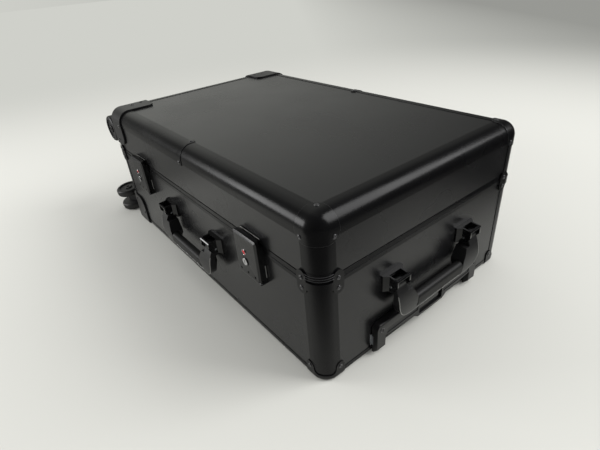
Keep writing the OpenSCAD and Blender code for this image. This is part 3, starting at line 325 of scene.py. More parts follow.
def finish(slot):
    """The material of a slot, made when it is first asked for."""
    if slot not in materials:
        make = FINISHES[slot][0]
        materials[slot] = make(bpy.context.scene.case_colours)
    return materials[slot]


# ---- meshes


def finish_piece(piece, body, slot, *replaced):
    """Gives a piece the material of its slot, and joins it to its CAD body."""
    if len(piece.data.materials) > 1:
        piece.data.materials[0] = finish(slot)
    else:
        piece.data.materials.clear()
        piece.data.materials.append(finish(slot))
    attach(piece, body)
    if replaced:
        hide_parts(*replaced)


def link_mesh(name, mesh):
    piece = bpy.data.objects.new(name, mesh)
    bpy.context.scene.collection.objects.link(piece)
    return piece


def bake_modifiers(piece):
    """Turns a piece and its modifiers into one plain mesh."""
    view = bpy.context.evaluated_depsgraph_get()
    mesh = bpy.data.meshes.new_from_object(piece.evaluated_get(view))
    piece.modifiers.clear()
    piece.data = mesh


def smooth(mesh, degrees=35):
    mesh.polygons.foreach_set("use_smooth", [True] * len(mesh.polygons))
    mesh.set_sharp_from_angle(angle=math.radians(degrees))


def welded(node, name):
    """A welded copy of a CAD node's mesh, with its flat faces joined."""
    bm = bmesh.new()
    bm.from_mesh(frame["nodes"][node].data)
    bmesh.ops.remove_doubles(bm, verts=bm.verts, dist=WELD)
    bmesh.ops.dissolve_limit(
        bm, angle_limit=math.radians(0.5), use_dissolve_boundaries=False, verts=bm.verts, edges=bm.edges
    )
    mesh = bpy.data.meshes.new(name)
    bm.to_mesh(mesh)
    bm.free()
    return link_mesh(name, mesh)


def round_edges(piece, width, segments=2, rounding_finish=None):
    """Rounds a piece's sharp edges. A second finish, if given, goes on the rounding."""
    bevel = piece.modifiers.new("rounding", "BEVEL")
    if rounding_finish:
        piece.data.materials.append(None)
        piece.data.materials.append(finish(rounding_finish))
        bevel.material = 1
    bevel.width = width
    bevel.segments = segments
    bevel.limit_method = "ANGLE"
    bevel.angle_limit = math.radians(70 if rounding_finish else 40)
    bevel.use_clamp_overlap = True
    bevel.harden_normals = True
    smooth(piece.data)
    bake_modifiers(piece)
    if rounding_finish:
        leave_wide_faces(piece.data, 1.5 * width)


def leave_wide_faces(mesh, width):
    """Gives the first finish back to faces that are too wide to be part of a rounding."""
    for face in mesh.polygons:
        spots = [mesh.vertices[k].co for k in face.vertices]
        longest = max((a - b).length for a, b in zip(spots, spots[1:] + spots[:1]))
        if face.area / longest > width:
            face.material_index = 0


def rounded(node, body, slot, width, segments=2, rounding_finish=None):
    """Stands for a CAD node with the same shape, its edges rounded as the real piece's are."""
    piece = welded(node, node + "_finished")
    round_edges(piece, width, segments, rounding_finish)
    finish_piece(piece, body, slot, node)


def mesh_from(name, build):
    """A piece whose mesh a function builds."""
    bm = bmesh.new()
    build(bm)
    mesh = bpy.data.meshes.new(name)
    bm.to_mesh(mesh)
    bm.free()
    return link_mesh(name, mesh)


def add_piece(name, body, slot, build, degrees=0):
    """Builds a trim piece and finishes it. Its edges under degrees are smooth."""
    piece = mesh_from(name, build)
    if degrees:
        smooth(piece.data, degrees)
    finish_piece(piece, body, slot)


def add_cord(name, body, slot, paths, radius, closed):
    """A round cord or bead along each path of points, as one piece."""
    curve = bpy.data.curves.new(name, "CURVE")
    curve.dimensions = "3D"
    curve.bevel_depth = radius
    curve.bevel_resolution = 3
    curve.use_fill_caps = not closed
    for path in paths:
        spline = curve.splines.new("POLY")
        spline.points.add(len(path) - 1)
        spline.use_cyclic_u = closed
        for point, spot in zip(spline.points, path):
            point.co = (*spot, 1)
    holder = bpy.data.objects.new(name, curve)
    mesh = bpy.data.meshes.new_from_object(holder)
    bpy.data.objects.remove(holder)
    smooth(mesh, 60)
    finish_piece(link_mesh(name, mesh), body, slot)


def lathe(bm, profile, segments, place):
    """Spins a closed profile of (radius, height) points about the axis of a matrix."""
    rings = []
    for step in range(segments):
        a = 2 * math.pi * step / segments
        rings.append(
            [bm.verts.new(place @ Vector((r * math.cos(a), r * math.sin(a), h))) for r, h in profile]
        )
    count = len(profile)
    for i, ring in enumerate(rings):
        after = rings[(i + 1) % segments]
        for j in range(count):
            k = (j + 1) % count
            bm.faces.new((ring[j], after[j], after[k], ring[k]))


def facing(origin, axis):
    """A matrix whose local Z runs along axis."""
    turn = Vector(axis).normalized().to_track_quat("Z", "X").to_matrix().to_4x4()
    return Matrix.Translation(Vector(origin)) @ turn


# ---- the case's pieces


class CASE_OT_panels(bpy.types.Operator):
    """Finish the case's panels"""

    bl_idname = "trolley_case.panels"
    bl_label = "Panels"

    def execute(self, context):
        for node, body in (
            ("base_floor_panel", "base"),
            ("base_wall_panels", "base"),
            ("lid_top_panel", "lid"),
            ("lid_wall_panels", "lid"),
        ):
            rounded(node, body, "panel", 0.2 * MM)
        return {"FINISHED"}


class CASE_OT_profiles(bpy.types.Operator):
    """Finish the anodised rails, posts and closure frames"""

    bl_idname = "trolley_case.profiles"
    bl_label = "Edge profiles"

    def execute(self, context):
        width = context.scene.case_sizes.profile_bevel
        for node, body in (
            ("base_bottom_rail", "base"),
            ("base_corner_posts", "base"),
            ("base_closure_frame", "base"),
            ("lid_edge_rails", "lid"),
            ("lid_corner_posts", "lid"),
            ("lid_closure_frame", "lid"),
        ):
            rounded(node, body, "frame", width)
        return {"FINISHED"}


class CASE_OT_corners(bpy.types.Operator):
    """Finish the stamped corners, brackets, straps and hinges"""

    bl_idname = "trolley_case.corners"
    bl_label = "Stamped corners"

    def execute(self, context):
        width = context.scene.case_sizes.sheet_bevel
        for node, body in (
            ("base_ball_corners", "base"),
            ("base_corner_brackets", "base"),
            ("hinge_base_leaves", "base"),
            ("lid_ball_corners", "lid"),
            ("lid_joint_straps", "lid"),
            ("hinge_lid_leaves", "lid"),
        ):
            rounded(node, body, "corner", width, rounding_finish="pale_rounding")
        rounded("hinge_pins", "base", "steel", width)
        add_piece("bracket_ribs", "base", "pale_rounding", bracket_ribs, 50)
        return {"FINISHED"}


def bracket_ribs(bm):
    """Pressed ribs round the bands of the front corner brackets; the lid swings past the back ones."""
    radius = bpy.context.scene.case_sizes.rib_radius
    case_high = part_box("base_corner_posts")[1]
    top_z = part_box("base_closure_frame")[1].z
    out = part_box("base_corner_brackets")[1].x - (case_high.x - CORNER_RADIUS)
    for side in (-1, 1):
        centre = Vector((side * (case_high.x - CORNER_RADIUS), CORNER_RADIUS - case_high.y, 0))
        for drop in (1.5 * MM, 4.5 * MM, 7.5 * MM):
            quarter_rib(bm, centre + Vector((0, 0, top_z - drop)), side, out, radius)
    bmesh.ops.recalc_face_normals(bm, faces=bm.faces)


def quarter_rib(bm, centre, side, out, radius, steps=12, round_steps=8):
    """A round rib over a quarter circle, from the end wall to the front wall."""
    rings = []
    for k in range(steps + 1):
        turn = math.radians(90) * k / steps
        way = Vector((side * math.cos(turn), -math.sin(turn), 0))
        ring = []
        for n in range(round_steps):
            a = 2 * math.pi * n / round_steps
            across = way * math.cos(a) + Vector((0, 0, math.sin(a)))
            ring.append(bm.verts.new(centre + way * out + across * radius))
        rings.append(ring)
    bridge(bm, rings)


def bridge(bm, rings):
    """Joins each ring of corners to the next, and closes the first and the last."""
    for one, two in zip(rings, rings[1:]):
        count = len(one)
        for k in range(count):
            after = (k + 1) % count
            bm.faces.new((one[k], two[k], two[after], one[after]))
    bm.faces.new(rings[0])
    bm.faces.new(list(reversed(rings[-1])))


class CASE_OT_guards(bpy.types.Operator):
    """Finish the moulded wheel guards"""

    bl_idname = "trolley_case.guards"
    bl_label = "Wheel guards"

    def execute(self, context):
        width = context.scene.case_sizes.guard_bevel
        rounded("base_wheel_guards", "base", "guard", width, 3)
        rounded("lid_wheel_guards", "lid", "guard", width, 3)
        return {"FINISHED"}


class CASE_OT_rivets(bpy.types.Operator):
    """Set the rivets with Geometry Nodes, one head on each seat of the CAD rivets"""

    bl_idname = "trolley_case.rivets"
    bl_label = "Rivets"

    def execute(self, context):
        sizes = context.scene.case_sizes
        tree = rivet_tree()
        for body in ("base", "lid"):
            seats = rivet_seats(body + "_rivets")
            mesh = bpy.data.meshes.new(body + "_rivet_heads")
            mesh.from_pydata([spot for spot, way in seats], [], [])
            ways = mesh.attributes.new("way", "FLOAT_VECTOR", "POINT")
            ways.data.foreach_set("vector", [v for spot, way in seats for v in way])
            piece = link_mesh(body + "_rivet_heads", mesh)
            set_inputs(piece, tree, {"Radius": sizes.rivet_radius, "Height": sizes.rivet_height})
            bake_modifiers(piece)
            smooth(piece.data, 50)
            finish_piece(piece, body, "rivet", body + "_rivets")
        return {"FINISHED"}


def rivet_seats(node):
    """Foot and outward direction of each rivet of a CAD node."""
    bm = bmesh.new()
    bm.from_mesh(frame["nodes"][node].data)
    bmesh.ops.remove_doubles(bm, verts=bm.verts, dist=WELD)
    seats = []
    for island in islands(bm):
        low = Vector([min(v[i] for v in island) for i in range(3)])
        high = Vector([max(v[i] for v in island) for i in range(3)])
        size = high - low
        # a rivet is flattest along its own axis
        axis = min(range(3), key=lambda i: size[i])
        middle = (low + high) / 2
        out = 1 if axis == 2 or middle[axis] > 0 else -1
        way = Vector([out if i == axis else 0 for i in range(3)])
        seats.append((middle - way * size[axis] / 2, way))
    bm.free()
    return seats


def islands(bm):
    """The places of the corners of each separate part of a mesh."""
    seen = set()
    for start in bm.verts:
        if start in seen:
            continue
        island, queue = [], [start]
        seen.add(start)
        while queue:
            corner = queue.pop()
            island.append(corner.co)
            for edge in corner.link_edges:
                other = edge.other_vert(corner)
                if other not in seen:
                    seen.add(other)
                    queue.append(other)
        yield island


def new_tree(name, inputs):
    """A geometry node tree with named length inputs after its geometry."""
    tree = bpy.data.node_groups.new(name, "GeometryNodeTree")
    tree.interface.new_socket("Geometry", in_out="OUTPUT", socket_type="NodeSocketGeometry")
    tree.interface.new_socket("Geometry", in_out="INPUT", socket_type="NodeSocketGeometry")
    for label, default in inputs.items():
        made = tree.interface.new_socket(label, in_out="INPUT", socket_type="NodeSocketFloat")
        made.default_value = default
    return tree, add(tree, "NodeGroupInput")


def set_inputs(piece, tree, values):
    """Adds the tree to a piece and sets its inputs by their identifiers."""
    modifier = piece.modifiers.new(tree.name, "NODES")
    modifier.node_group = tree
    for item in tree.interface.items_tree:
        if item.in_out == "INPUT" and item.name in values:
            modifier[item.identifier] = values[item.name]


def rivet_tree():
    """A pressed head on each point, turned to its outward direction: a ring round a dimple, on a collar."""
    tree, given = new_tree("rivet_heads", {"Radius": 3 * MM, "Height": 1 * MM})
    radius, height = given.outputs["Radius"], given.outputs["Height"]
    # the ring's middle line lies at 0.56 of the head's radius, and its section's radius is 0.4 of it
    middle = add(tree, "ShaderNodeMath", {0: radius, 1: 0.56}, operation="MULTIPLY")
    thick = add(tree, "ShaderNodeMath", {0: radius, 1: 0.4}, operation="MULTIPLY")
    path = add(tree, "GeometryNodeCurvePrimitiveCircle", {"Resolution": 24, "Radius": middle})
    section = add(tree, "GeometryNodeCurvePrimitiveCircle", {"Resolution": 12, "Radius": thick})
    ring = add(tree, "GeometryNodeCurveToMesh", {"Curve": path, "Profile Curve": section})
    flat = add(tree, "ShaderNodeMath", {0: height, 1: thick}, operation="DIVIDE")
    squash = add(tree, "ShaderNodeCombineXYZ", {"X": 1.0, "Y": 1.0, "Z": flat})
    ring = add(tree, "GeometryNodeTransform", {"Geometry": ring, "Scale": squash})
    thin = add(tree, "ShaderNodeMath", {0: height, 1: 0.5}, operation="MULTIPLY")
    round_plate = {"Vertices": 24, "Radius": radius, "Depth": thin}
    collar = add(tree, "GeometryNodeMeshCylinder", round_plate, fill_type="TRIANGLE_FAN")
    head = add(tree, "GeometryNodeJoinGeometry")
    tree.links.new(ring.outputs[0], head.inputs[0])
    tree.links.new(collar.outputs[0], head.inputs[0])
    way = add(tree, "GeometryNodeInputNamedAttribute", {"Name": "way"}, data_type="FLOAT_VECTOR")
    turn = add(tree, "FunctionNodeAlignRotationToVector", {"Vector": way}, axis="Z")
    seats = {"Points": given.outputs["Geometry"], "Instance": head, "Rotation": turn}
    set_on = add(tree, "GeometryNodeInstanceOnPoints", seats)
    real = add(tree, "GeometryNodeRealizeInstances", {"Geometry": set_on})
    done = add(tree, "GeometryNodeSetMaterial", {"Geometry": real, "Material": finish("rivet")})
    add(tree, "NodeGroupOutput", {"Geometry": done})
    return tree


class CASE_OT_latches(bpy.types.Operator):
    """Finish the latches, with their key cylinders, numbered dials, index marks and dots, and pale strips of
    painted highlight
    """

    bl_idname = "trolley_case.latches"
    bl_label = "Latches"

    def execute(self, context):
        rounded("latch_bodies", "base", "latch", 0.5 * MM)
        rounded("latch_pins", "base", "steel", 0.2 * MM)
        rounded("latch_keepers", "lid", "corner", 0.2 * MM)
        for i in (1, 2):
            cover = "latch_cover_%d" % i
            keeper_lip(i)
            rounded(cover, cover, "latch", context.scene.case_sizes.latch_bevel, 3)
            key_and_dot(i)
            index_marks(i)
            side_spring(i)
            for letter in "abc":
                dial = "dial_%d%s" % (i, letter)
                rounded(dial, dial, "gloss", 0.2 * MM)
                add_piece(dial + "_numbers", dial, "figure", lambda bm: dial_numbers(bm, dial))
        return {"FINISHED"}


# outward from the front wall, where the latches are
LATCH_OUT = (0, -1, 0)


def keeper_lip(i):
    """A pale strip on the lip of a keeper, seen above its latch: a painted highlight for the bright line
    along that edge.
    """
    low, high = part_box("latch_cover_%d" % i)
    keeper_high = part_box("latch_keepers")[1]
    spot = Vector(((low.x + high.x) / 2, keeper_high.y - 1.6 * MM, keeper_high.z + 0.2 * MM))
    size = (0.82 * (high.x - low.x), 0.9 * MM, 0.5 * MM)
    highlight_strip = mesh_from("keeper_lip_%d" % i, lambda bm: slab(bm, spot, size))
    round_edges(highlight_strip, 0.15 * MM)
    finish_piece(highlight_strip, "lid", "edge")


def key_and_dot(i):
    """The key cylinder, with black painted shade in its keyway and a black ring of painted shade round it,
    and the enamel dot above it.
    """
    cover, key = "latch_cover_%d" % i, "key_cylinder_%d" % i
    key_low, key_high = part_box(key)
    middle = (key_low + key_high) / 2
    radius = (key_high - key_low).x / 2
    dot_radius = 0.68 * radius
    rounded(key, key, "chrome", 0.3 * MM)
    front = Vector((middle.x, key_low.y, middle.z))
    # a thin black slab over the keyway: painted shade
    slot = (0.9 * MM, 0.1 * MM, 1.1 * radius)
    add_piece("keyway_shade_%d" % i, key, "gloss", lambda bm: slab(bm, front, slot))
    face = Vector((middle.x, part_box(cover)[0].y, middle.z))
    above = face + Vector((0, 0, 2.85 * radius))
    # the black ring stands for the shaded gap round the cylinder: painted shade
    key_gap_shade = (face, LATCH_OUT, radius + 0.15 * MM, 1.3 * MM, 0.9 * MM)
    dot_ring = (above, LATCH_OUT, dot_radius, 0.7 * MM, 0.9 * MM)
    dot = (above, LATCH_OUT, dot_radius, 1 * MM)
    add_piece("key_ring_%d" % i, cover, "gloss", lambda bm: round_ring(bm, *key_gap_shade), 50)
    add_piece("dot_ring_%d" % i, cover, "chrome", lambda bm: round_ring(bm, *dot_ring), 50)
    add_piece("latch_dot_%d" % i, cover, "dot", lambda bm: low_dome(bm, *dot), 50)


def index_marks(i):
    """The three marks of a latch cover that the dials are read against: low domes coloured black as the
    painted shade of small pits.
    """
    cover = "latch_cover_%d" % i
    radius = bpy.context.scene.case_sizes.mark_radius
    for letter in "abc":
        dial_low, dial_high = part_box("dial_%d%s" % (i, letter))
        spot = Vector(((dial_low.x + dial_high.x) / 2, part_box(cover)[0].y, dial_high.z + 2.4 * MM))
        mark = "index_mark_%d%s" % (i, letter)
        add_piece(mark, cover, "recess", lambda bm: low_dome(bm, spot, LATCH_OUT, radius, 0.3 * MM, 20), 50)


def side_spring(i):
    """A pale strip low on the right side of a latch's cover: a painted highlight for the bright line seen
    there.
    """
    key_low, key_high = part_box("key_cylinder_%d" % i)
    key_tall = (key_high - key_low).z
    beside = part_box("latch_cover_%d" % i)[1].x + 0.2 * MM
    before_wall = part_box("latch_bodies")[1].y - 1.5 * MM
    spot = (beside, before_wall, key_low.z + 0.2 * key_tall - 3 * MM)
    size = (0.8 * MM, 1.1 * MM, 1.8 * key_tall)
    side_strip = mesh_from("latch_side_highlight_%d" % i, lambda bm: slab(bm, spot, size))
    round_edges(side_strip, 0.2 * MM)
    finish_piece(side_strip, "base", "edge")


def slab(bm, centre, size):
    """A block about its centre."""
    made = bmesh.ops.create_cube(bm, size=1)
    for v in made["verts"]:
        v.co = Vector(centre) + Vector([v.co[k] * size[k] for k in range(3)])


def round_ring(bm, spot, way, inner, wide, tall, segments=40, steps=8):
    """A ring of half-round section that stands on spot, with its foot sunk into the face."""
    profile = [(inner, -0.3 * tall), (inner + wide, -0.3 * tall)]
    for k in range(steps + 1):
        a = math.pi * k / steps
        profile.append((inner + wide / 2 * (1 + math.cos(a)), tall * (0.1 + 0.9 * math.sin(a))))
    lathe(bm, profile, segments, facing(spot, way))
    bmesh.ops.recalc_face_normals(bm, faces=bm.faces)


def low_dome(bm, spot, way, radius, height, segments=32, steps=6):
    """A low dome with a rim, standing on spot, with its foot sunk into the face."""
    sunk, rim, hub = -0.4 * height, 0.25 * height, 1e-7
    profile = [(0, sunk), (radius, sunk), (radius, rim)]
    for k in range(steps + 1):
        a = math.radians(90) * k / steps
        profile.append((0.9 * radius * math.cos(a) + hub, rim + (height - rim) * math.sin(a)))
    lathe(bm, profile, segments, facing(spot, way))
    bmesh.ops.remove_doubles(bm, verts=bm.verts, dist=WELD)
    bmesh.ops.recalc_face_normals(bm, faces=bm.faces)


def dial_numbers(bm, dial):
    """The ten figures of a dial, wrapped round its rim, with 0 in front."""
    low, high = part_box(dial)
    middle = (low + high) / 2
    radius = (high.y - low.y) / 2
    proud = 0.03 * MM
    for number in range(10):
        text = bpy.data.curves.new("figure", "FONT")
        text.body = str(number)
        text.size = 0.72 * radius
        text.align_x, text.align_y = "CENTER", "CENTER"
        text.extrude = proud
        text.resolution_u = 2
        holder = bpy.data.objects.new("figure", text)
        mesh = bpy.data.meshes.new_from_object(holder)
        bpy.data.objects.remove(holder)
        turn = math.radians(36) * number
        for v in mesh.vertices:
            a = turn + v.co.y / radius
            out = radius + proud + v.co.z
            v.co = middle + Vector((v.co.x, -out * math.cos(a), out * math.sin(a)))
        bm.from_mesh(mesh)
        bpy.data.meshes.remove(mesh)


class CASE_OT_handles(bpy.types.Operator):
    """Finish the carry handles"""

    bl_idname = "trolley_case.handles"
    bl_label = "Carry handles"

    def execute(self, context):
        sizes = context.scene.case_sizes
        rounded("handle_hoods", "base", "gloss", sizes.hood_bevel, 3)
        rounded("handle_pins", "base", "steel", 0.3 * MM)
        for side, out in (("front", (0, -1, 0)), ("end", (1, 0, 0))):
            body = side + "_handle"
            rounded(body + "_bail", body, "guard", 1 * MM, 3)
            rounded(body + "_grip", body, "grip", 1 * MM, 3)
            edge_bead(body, Vector(out), sizes.bead_radius)
        return {"FINISHED"}


def edge_bead(body, out, radius):
    """A pale round bead along the lower outer edge of a carry handle's outward face: a painted highlight for
    the bright line of light along that edge.
    """
    source = welded(body + "_bail", "edge_source")
    bm = bmesh.new()
    bm.from_mesh(source.data)
    bpy.data.objects.remove(source)
    low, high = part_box(body + "_bail")
    edges = [edge for edge in bm.edges if is_outline(edge, low, high, out)]
    # the bead is sunk into the edge by part of its radius
    sunk = Vector((0, 0, 0.3 * radius)) - out * 0.6 * radius
    paths = [[spot + sunk for spot in path] for path in edge_paths(bm, edges)]
    bm.free()
    add_cord(body + "_rim", body, "edge", paths, radius, False)


def is_outline(edge, low, high, out):
    """Whether an edge bounds the outward face on its underside, or on its outer sides below the hoods."""
    if len(edge.link_faces) != 2:
        return False
    side, face = sorted(edge.link_faces, key=lambda face: face.normal.dot(out))
    if face.normal.dot(out) < 0.6 or abs(side.normal.dot(out)) > 0.3:
        return False
    middle, size = (low + high) / 2, high - low
    along = 1 if abs(out.x) > 0.5 else 0
    spot = (edge.verts[0].co + edge.verts[1].co) / 2
    aside = spot[along] - middle[along]
    if spot.z < low.z + 0.45 * size.z and side.normal.z < -0.1:
        return True
    outer = abs(aside) > 0.4 * size[along] and spot.z < high.z - 0.3 * size.z
    return outer and side.normal[along] * aside > 0


def edge_paths(bm, edges, shortest=15 * MM):
    """The places along each chain of edges, walked from one of its ends."""
    meets = {}
    for edge in edges:
        for corner in edge.verts:
            meets.setdefault(corner, []).append(edge)
    paths, used = [], set()
    for start in sorted(meets, key=lambda corner: len(meets[corner])):
        path, here = [start.co.copy()], start
        while True:
            ahead = [edge for edge in meets[here] if edge not in used]
            if not ahead:
                break
            used.add(ahead[0])
            here = ahead[0].other_vert(here)
            path.append(here.co.copy())
        if sum((b - a).length for a, b in zip(path, path[1:])) > shortest:
            paths.append(path)
    return paths


class CASE_OT_trolley(bpy.types.Operator):
    """Finish the pull-out trolley handle"""

    bl_idname = "trolley_case.trolley"
    bl_label = "Trolley handle"

    def execute(self, context):
        rounded("trolley_outer_tubes", "base", "tube", 0.2 * MM)
        rounded("trolley_brackets", "base", "guard", 0.6 * MM)
        rounded("trolley_inner_tubes", "trolley_stage", "tube", 0.2 * MM)
        rounded("trolley_grip", "trolley_stage", "guard", 0.7 * MM, 3)
        rounded("trolley_button", "button", "gloss", 0.6 * MM, 3)
        grip_screws()
        return {"FINISHED"}


def grip_screws():
    """A round-headed screw with a cross slot in each leg of the trolley grip."""
    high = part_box("trolley_grip")[1]
    # from the leg's outer side and from the grip's top to the screw
    aside, below, sunk = 8.5 * MM, 9.5 * MM, 0.1 * MM
    for i, side in ((1, -1), (2, 1)):
        spot = Vector((high.x - sunk, side * (high.y - aside), high.z - below))
        add_piece("grip_screw_%d" % i, "trolley_stage", "rivet", lambda bm: screw_head(bm, spot), 40)


def screw_head(bm, spot):
    """A ring round a low head, and the two bars of its cross."""
    out = (1, 0, 0)
    round_ring(bm, spot, out, 2.3 * MM, 1.5 * MM, 0.8 * MM)
    low_dome(bm, spot - Vector((0.3 * MM, 0, 0)), out, 2 * MM, 0.5 * MM, 24)
    thin, narrow, long = 0.1 * MM, 0.5 * MM, 2.2 * MM
    for size in ((thin, long, narrow), (thin, narrow, long)):
        slab(bm, spot + Vector((0.22 * MM, 0, 0)), size)


class CASE_OT_casters(bpy.types.Operator):
    """Finish the casters' forks, axles and wheels"""

    bl_idname = "trolley_case.casters"
    bl_label = "Casters"

    def execute(self, context):
        for part in ("base", "lid"):
            for i in (1, 2):
                body = "%s_caster_%d" % (part, i)
                wheels = "%s_caster_wheels_%d" % (part, i)
                rounded("%s_caster_fork_%d" % (part, i), body, "guard", 1 * MM, 3)
                rounded("%s_caster_axle_%d" % (part, i), body, "steel", 0.5 * MM)
                rounded(wheels, wheels, "tyre", 0.6 * MM)
        return {"FINISHED"}


class CASE_OT_linings(bpy.types.Operator):
    """Line the base and the lid with quilted cloth, sewn to a piping cord at its mouth"""

    bl_idname = "trolley_case.linings"
    bl_label = "Linings"

    def execute(self, context):
        sizes = context.scene.case_sizes
        for part, up in (("base", 1), ("lid", -1)):
            # the lid's rails are round, so its lining turns a slope under them
            slope = 0 if up > 0 else sizes.lining_slope
            thick = sizes.lining_pad
            quilted_pads(part, up, slope, thick)
            low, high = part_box(part + "_lining")
            walls = (low, high - Vector((0, 0, slope)), thick)
            add_piece(part + "_lining_corners", part, "lining", lambda bm: tub_corners(bm, *walls), 60)
            if slope:
                band = (low, high, slope, thick)
                add_piece(part + "_lining_slope", part, "lining", lambda bm: tub_slope(bm, *band), 30)
            lining_piping(part, up, sizes.piping_radius)
        return {"FINISHED"}


# radius of the lining's upright corners, and the clearance behind its walls
TUB_RADIUS = 17 * MM
BEHIND = 0.2 * MM


def quilted_pads(part, up, slope, thick):
    """The pads on the floor and the four walls of a lining. up is 1 where its floor is at the bottom."""
    low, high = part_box(part + "_lining")
    size, middle = high - low, (low + high) / 2
    floor_z = low.z if up > 0 else high.z
    margins = 2 * (slope + 1 * MM)
    on_floor = (middle.x, middle.y, floor_z)
    # name, middle of its back, way along it, way out of its face, length, height, and cells each way
    pads = [("floor", on_floor, (1, 0, 0), (0, 0, up), size.x - margins, size.y - margins, 4, 3)]
    # the wall pads stand clear of the mouth and of the floor pad, and lap over the corner strips
    gap, lap = 0.5 * MM, 4 * MM
    wall_z = middle.z + up * (slope + thick) / 2
    tall = size.z - slope - thick - 2 * gap
    corners = 2 * (TUB_RADIUS - lap)
    for side, front_name, end_name in ((-1, "front", "wheel_end"), (1, "back", "handle_end")):
        y = middle.y + side * (size.y / 2 - BEHIND)
        x = middle.x + side * (size.x / 2 - BEHIND)
        long, short = size.x - corners, size.y - corners
        pads.append((front_name, (middle.x, y, wall_z), (1, 0, 0), (0, -side, 0), long, tall, 4, 1))
        pads.append((end_name, (x, middle.y, wall_z), (0, 1, 0), (-side, 0, 0), short, tall, 3, 1))
    for name, spot, along, out, length, height, cells, rows in pads:
        shape = (pad_place(spot, along, out), length, height, thick, cells, rows)
        pad = mesh_from("%s_lining_%s" % (part, name), lambda bm: quilt(bm, *shape))
        smooth(pad.data, 60)
        replaced = (part + "_lining",) if name == "floor" else ()
        finish_piece(pad, part, "lining", *replaced)


def pad_place(spot, across, out):
    """A matrix whose X runs across a pad and whose Z runs out of its cloth face."""
    x, z = Vector(across), Vector(out)
    turn = Matrix((x, z.cross(x), z)).transposed().to_4x4()
    return Matrix.Translation(Vector(spot)) @ turn


def quilt(bm, place, wide, tall, thick, cells, rows):
    """A closed pad with a flat back, crowned between its sewn channels."""
    step = 5 * MM
    across, along = max(cells * 6, round(wide / step)), max(rows * 6, round(tall / step))
    sewn = 0.35

    def crown(share, count):
        """One in the middle of a cell, nothing on its channels and at the pad's rim."""
        spot = share * count % 1 if 0 < share < 1 else 0
        return 1 - abs(2 * spot - 1) ** 6

    front, back = [], []
    for i in range(across + 1):
        front.append([])
        back.append([])
        for j in range(along + 1):
            x, y = (i / across - 0.5) * wide, (j / along - 0.5) * tall
            level = sewn + (1 - sewn) * crown(i / across, cells) * crown(j / along, rows)
            front[i].append(bm.verts.new(place @ Vector((x, y, thick * level))))
            back[i].append(bm.verts.new(place @ Vector((x, y, 0))))
    for i in range(across):
        for j in range(along):
            bm.faces.new((front[i][j], front[i + 1][j], front[i + 1][j + 1], front[i][j + 1]))
            bm.faces.new((back[i][j], back[i][j + 1], back[i + 1][j + 1], back[i + 1][j]))
    rim = [(i, 0) for i in range(across)] + [(across, j) for j in range(along)]
    rim += [(i, along) for i in range(across, 0, -1)] + [(0, j) for j in range(along, 0, -1)]
    for (i, j), (k, m) in zip(rim, rim[1:] + rim[:1]):
        bm.faces.new((front[k][m], front[i][j], back[i][j], back[k][m]))
    bmesh.ops.recalc_face_normals(bm, faces=bm.faces)


def rounded_rectangle(low, high, inset, radius, steps=8):
    """Points round a box's plan, inset from it and with round corners, as pairs."""
    right, left = high.x - inset - radius, low.x + inset + radius
    back, front = high.y - inset - radius, low.y + inset + radius
    points = []
    for quarter, (cx, cy) in enumerate(((right, back), (left, back), (left, front), (right, front))):
        for k in range(steps + 1):
            a = math.radians(90) * (quarter + k / steps)
            points.append((cx + radius * math.cos(a), cy + radius * math.sin(a)))
    return points


def tub_corners(bm, low, high, thick, steps=8):
    """The four round corners of a lining's walls, thinner than its pads."""
    thin = 0.7 * thick
    outside = rounded_rectangle(low, high, 0, TUB_RADIUS, steps)
    inside = rounded_rectangle(low, high, thin, TUB_RADIUS - thin, steps)
    foot_z, top_z = low.z + 0.5 * MM, high.z - 0.5 * MM
    for corner in range(4):
        first = corner * (steps + 1)
        sections = []
        for k in range(first, first + steps + 1):
            section = ((outside[k], foot_z), (inside[k], foot_z), (inside[k], top_z), (outside[k], top_z))
            sections.append([bm.verts.new((*spot, z)) for spot, z in section])
        bridge(bm, sections)
    bmesh.ops.recalc_face_normals(bm, faces=bm.faces)


def tub_slope(bm, low, high, slope, thick):
    """The sloping band between the lid lining's walls and its floor, thinner than its pads."""
    thin = 0.6 * thick
    reach = slope + 1 * MM
    loops = []
    for inset, z in (
        (BEHIND, high.z - slope),
        (reach, high.z),
        (reach, high.z - thin),
        (thin, high.z - reach),
    ):
        points = rounded_rectangle(low, high, inset, TUB_RADIUS - inset)
        loops.append([bm.verts.new((*spot, z)) for spot in points])
    count = len(loops[0])
    for one, two in zip(loops, loops[1:] + loops[:1]):
        for k in range(count):
            after = (k + 1) % count
            bm.faces.new((one[k], one[after], two[after], two[k]))
    bmesh.ops.recalc_face_normals(bm, faces=bm.faces)


def lining_piping(part, up, radius):
    """A sewn cord round the mouth of a lining."""
    low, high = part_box(part + "_lining")
    z = high.z - radius if up > 0 else low.z + radius
    bend = 15 * MM
    path = [(x, y, z) for x, y in rounded_rectangle(low, high, 1.5 * radius, bend)]
    add_cord(part + "_lining_piping", part, "thread", [path], radius, True)


# ---- stage


# place in metres; turn, pitch and roll in degrees; lens in millimetres
CAMERA_SPOT = (0.5609, -0.3963, 0.4347)
CAMERA_TURN = 53.624
CAMERA_PITCH = 31.504
CAMERA_ROLL = -5.109
CAMERA_LENS = 25.522
# name, place, width and height in metres, and watts; each lamp is aimed at the case
LAMPS = (
    ("key_light", (1.84, 1.92, 2.32), (1.76, 2.4), 87),
    ("window_light", (-1.35, -1.65, 0.7), (0.9, 0.9), 21),
)
# strength of the even light, and half the width of the floor in metres
WORLD_LIGHT = 0.78
FLOOR_REACH = 12
# the way to the room's bright side, the way in which the backdrop falls off, and the way to the camera
BRIGHT_WAY = (-0.85, -0.36, 0.38)
SHADED_WAY = (0.593, 0.805, 0)
CAMERA_WAY = (0.8, -0.6, 0)
